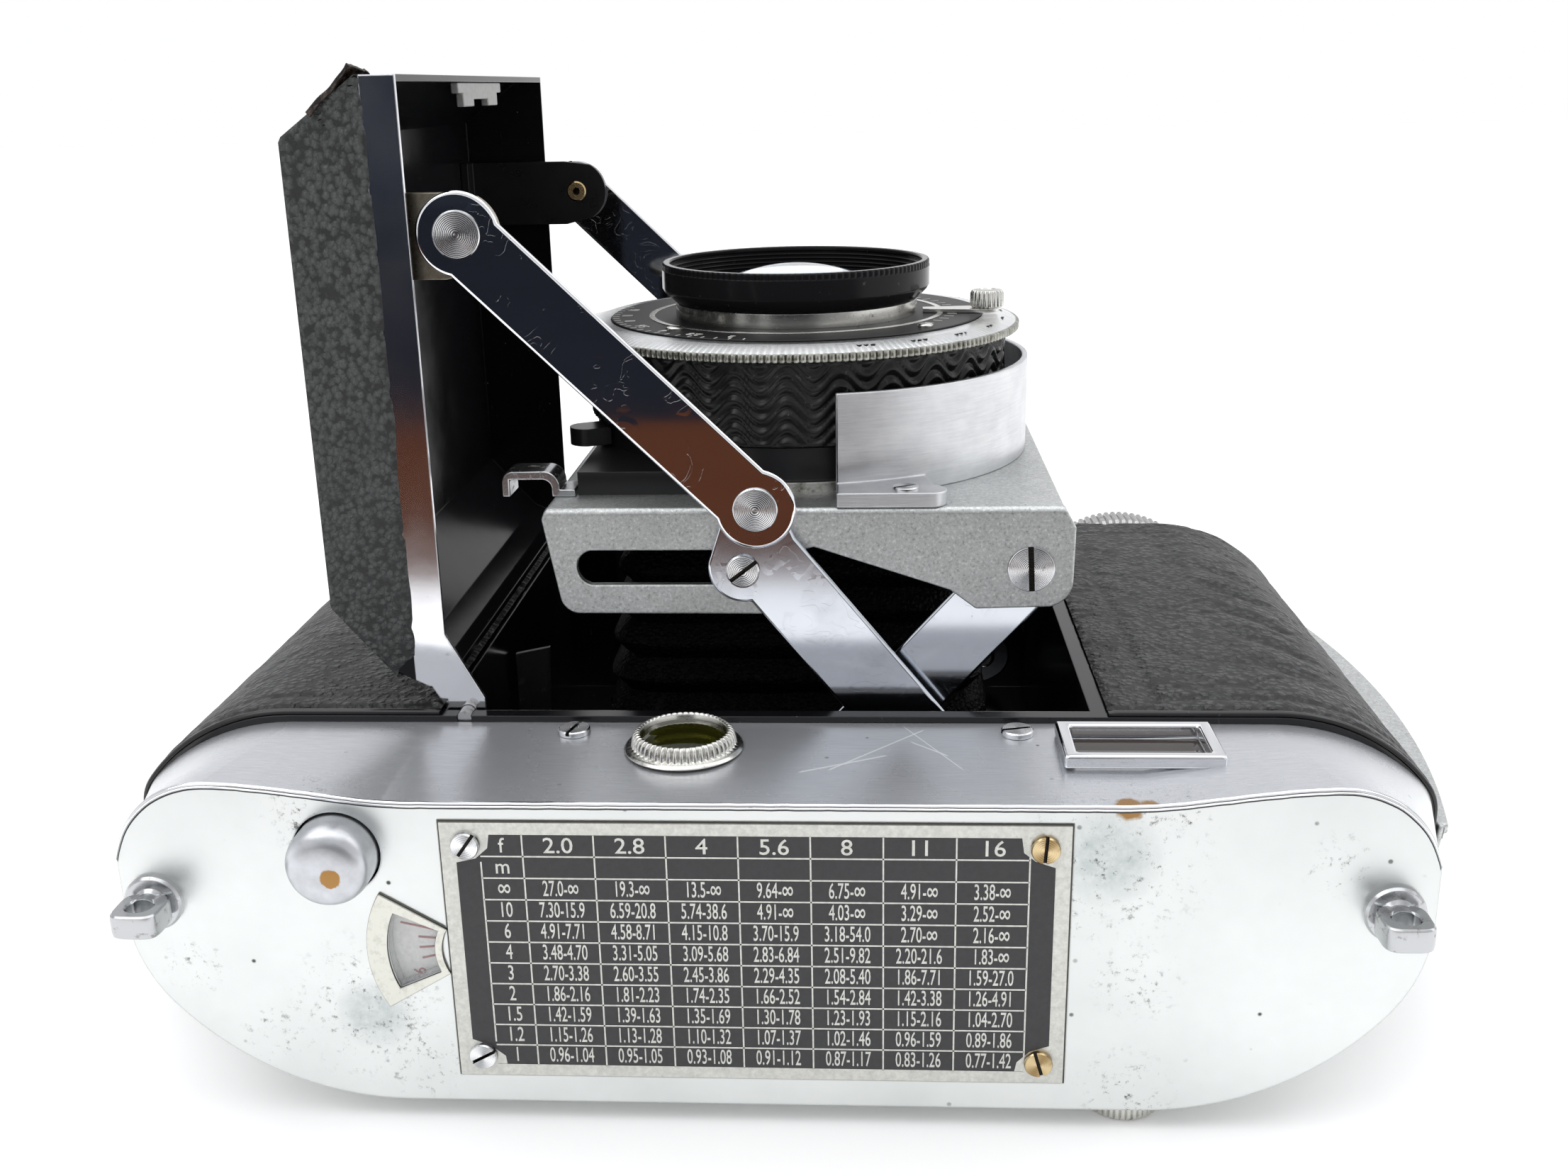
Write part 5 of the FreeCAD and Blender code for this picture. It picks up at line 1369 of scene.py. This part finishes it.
def round_scale(texts, radius, first, last, height, size, width=0.8):
    """Figures spread along an arc about the lens axis, with their feet inwards."""
    entries = []
    for i, text in enumerate(texts):
        angle = math.radians(first + (last - first) * i / max(1, len(texts) - 1))
        spot = (radius * math.cos(angle), radius * math.sin(angle), height)
        entries.append((text, size, width,
                        Matrix.Translation(spot) @ Matrix.Rotation(angle - math.pi / 2, 4, "Z")))
    return entries


def ticks(angles, inner, outer, low, high, wide=0.12):
    """Short radial strokes about the lens axis."""
    strokes = []
    for degrees in angles:
        turn = Matrix.Rotation(math.radians(degrees), 3, "Z")
        box = [(inner, -wide / 2), (outer, -wide / 2), (outer, wide / 2), (inner, wide / 2)]
        outline = [tuple((turn @ Vector((a, b, 0)))[:2]) for a, b in box]
        strokes.append(prism(outline, low, high))
    return strokes


def lens_scales():
    """Figures on the speed ring and on the shutter face, and a few screws."""
    speeds = ("500", "250", "100", "50", "25", "10", "5", "2", "1")
    lettering("speed_figures", round_scale(speeds, 21.7, -70, 50, 64.15, 1.7), "speed",
              "black_metal", "figure_black")
    stops = ("16", "11", "8", "5.6", "4", "2.8", "2")
    lettering("stop_figures", round_scale(stops, 18.2, 172, 252, 64.51, 1.6), "lens_block",
              "dial_white", "figure_white")
    strokes = ticks([165 + 4.4 * i for i in range(22)], 19.1, 19.8, FACE_Z, FACE_Z + 0.03)
    strokes += ticks([-34 + 6 * i for i in range(17)], 16.4, 17.4, FACE_Z, FACE_Z + 0.03)
    make("stop_ticks", *many(strokes), "lens_block", "dial_white", "figure_white")
    discs = []
    for degrees, radius, size in ((226, 17.0, 0.9), (318, 18.2, 0.8), (72, 17.6, 0.8)):
        angle = math.radians(degrees)
        spot = (radius * math.cos(angle), radius * math.sin(angle), FACE_Z)
        discs.append(lathe([(0.01, 0), (size, 0), (size, 0.22), (size - 0.15, 0.32),
                            (0.01, 0.34)], 32, spot))
    groove_z = FACE_Z + 0.06
    discs.append(lathe([(15.3, FACE_Z), (15.9, FACE_Z), (15.9, groove_z), (15.3, groove_z)], 96))
    make("face_screws", *many(discs), "lens_block", "nickel")


def counter_marks():
    """Red strokes and figure of the frame counter."""
    strokes = []
    for step in range(-2, 3):
        angle = math.radians(9 * step + 4)
        inner = 5.2
        outer = inner + (3.4 if step == 1 else 1.7)
        ux, uz = -math.cos(angle), math.sin(angle)
        box = []
        for along, across in ((inner, -0.09), (outer, -0.09), (outer, 0.09), (inner, 0.09)):
            box.append((COUNTER[0] + ux * along - uz * across,
                        COUNTER[1] + uz * along + ux * across))
        strokes.append(prism(box, COUNTER_Y - 0.02, COUNTER_Y + 0.03, "Y"))
    make("counter_strokes", *many(strokes), "counter", "dial_white", "dial_red")
    quarter = Matrix.Rotation(math.pi / 2, 4, "Z")
    entries = [("1", 1.9, 0.9, on_plate(-33.0, 18.3, COUNTER_Y) @ quarter),
               ("36", 1.6, 0.8, on_plate(-32.6, 12.2, COUNTER_Y) @ quarter)]
    lettering("counter_figures", entries, "counter", "dial_white", "dial_red")


# ---------------------------------------------------------------- stage

def camera():
    """Lens and pose of the view: a little above, from the side of the top plate."""
    pitch, yaw, roll = (math.radians(a) for a in (17.816, -3.323, -1.127))
    ahead = Vector((math.sin(yaw) * math.cos(pitch), math.cos(yaw) * math.cos(pitch),
                    -math.sin(pitch)))
    level = Vector((math.cos(yaw), -math.sin(yaw), 0))
    above = level.cross(ahead)
    right = level * math.cos(roll) + above * math.sin(roll)
    upward = above * math.cos(roll) - level * math.sin(roll)
    data = bpy.data.cameras.new("camera")
    data.lens = 35.807
    data.sensor_width = 36.0
    data.clip_start = 0.005
    holder = placed("camera", data)
    turn = Matrix((right, upward, -ahead)).transposed().to_4x4()
    place = Vector((7.928, -169.952, 87.737 + LIFT)) * MM
    holder.matrix_world = Matrix.Translation(place) @ turn
    bpy.context.scene.camera = holder


def area_light(name, place, target, size, power):
    """A soft light from a place in metres towards a target."""
    data = bpy.data.lights.new(name, "AREA")
    data.shape = "RECTANGLE"
    data.size, data.size_y = size
    data.energy = power
    lamp = placed(name, data)
    lamp.location = place
    way = Vector(target) - Vector(place)
    lamp.rotation_euler = way.to_track_quat("-Z", "Y").to_euler()


def flag(name, corners, tone):
    """A dark sheet outside the camera's view, seen only as a reflection."""
    mesh = bpy.data.meshes.new(name)
    mesh.from_pydata(corners, [], [(0, 1, 2, 3)])
    sheet = placed(name, mesh)
    paint = Paint(name)
    mottle = paint.noise(60, 3, 0.5)
    color = paint.mix(mottle, tone, darker(tone, 0.7))
    mesh.materials.append(paint.done(color, 0.0, 1.0, Specular_IOR_Level=0.0))
    for ray in ("camera", "diffuse", "shadow", "transmission", "volume_scatter"):
        setattr(sheet, "visible_" + ray, False)


def stage():
    """Pale seamless floor, a bright room with dark zones in it, and soft lights."""
    bpy.ops.mesh.primitive_plane_add(size=6, location=(0, 0, 0))
    floor = bpy.context.object
    floor.name = "floor"
    paint = Paint("floor_white")
    floor.data.materials.append(paint.done((0.97, 0.97, 0.97), 0.0, 0.9,
                                           Emission_Color=(1, 1, 1), Emission_Strength=0.07))
    world = bpy.data.worlds.new("studio")
    bpy.context.scene.world = world
    world.use_nodes = True
    tree = world.node_tree
    tree.nodes.clear()
    place = tree.nodes.new("ShaderNodeTexCoord")
    ramp = tree.nodes.new("ShaderNodeValToRGB")
    split = tree.nodes.new("ShaderNodeSeparateXYZ")
    back = tree.nodes.new("ShaderNodeBackground")
    out = tree.nodes.new("ShaderNodeOutputWorld")
    tree.links.new(place.outputs["Generated"], split.inputs[0])
    tree.links.new(split.outputs[2], ramp.inputs[0])
    tree.links.new(ramp.outputs["Color"], back.inputs["Color"])
    tree.links.new(back.outputs["Background"], out.inputs["Surface"])
    ramp.color_ramp.elements[0].position = 0.0
    ramp.color_ramp.elements[0].color = (1, 1, 1, 1)
    ramp.color_ramp.elements[1].position = 1.0
    ramp.color_ramp.elements[1].color = (0.85, 0.86, 0.88, 1)
    for spot, tone in ((0.14, 1.0), (0.45, 0.75), (0.62, 0.62), (0.80, 0.86)):
        stop = ramp.color_ramp.elements.new(spot)
        stop.color = (tone, tone, tone * 1.02, 1)
    back.inputs["Strength"].default_value = 1.0
    flag("flag_brown", ((-0.4, -0.17, 0.001), (0.4, -0.17, 0.001), (0.4, -0.32, 0.001),
                        (-0.4, -0.32, 0.001)), (0.082, 0.030, 0.016))
    flag("flag_black", ((-0.6, -0.32, 0.001), (0.6, -0.32, 0.001), (0.6, -1.2, 0.001),
                        (-0.6, -1.2, 0.001)), (0.012, 0.014, 0.020))
    flag("flag_upright", ((-0.5, -1.2, 0.0), (0.5, -1.2, 0.0), (0.5, -1.2, 0.32),
                          (-0.5, -1.2, 0.32)), (0.020, 0.024, 0.034))
    area_light("key", (-0.40, -0.30, 0.60), (0, 0, 0.03), (0.5, 0.4), 1.0)
    area_light("fill", (0.5, 0.10, 0.45), (0, 0, 0.03), (0.4, 0.4), 0.6)
    sky = bpy.data.lights.new("sky", "SUN")
    sky.energy = 1.35
    sky.angle = 1.4
    placed("sky", sky).rotation_euler = (math.radians(-12), 0, 0)
    bpy.context.scene.view_settings.view_transform = "Standard"


camera()
paint_frame()
leathers()
door_leather()
pull_tab()
wave_grip()
speed_ring()
face_disc()
filter_ring()
front_element()
finder_rings()
release_button()
base_knobs()
heads()
soft_pieces()
lugs()
plate_edge()
panes()
cocking_knob()
bellows()
table_field()
table_rules()
table_grime()
table_figures()
lens_scales()
counter_marks()
stage()
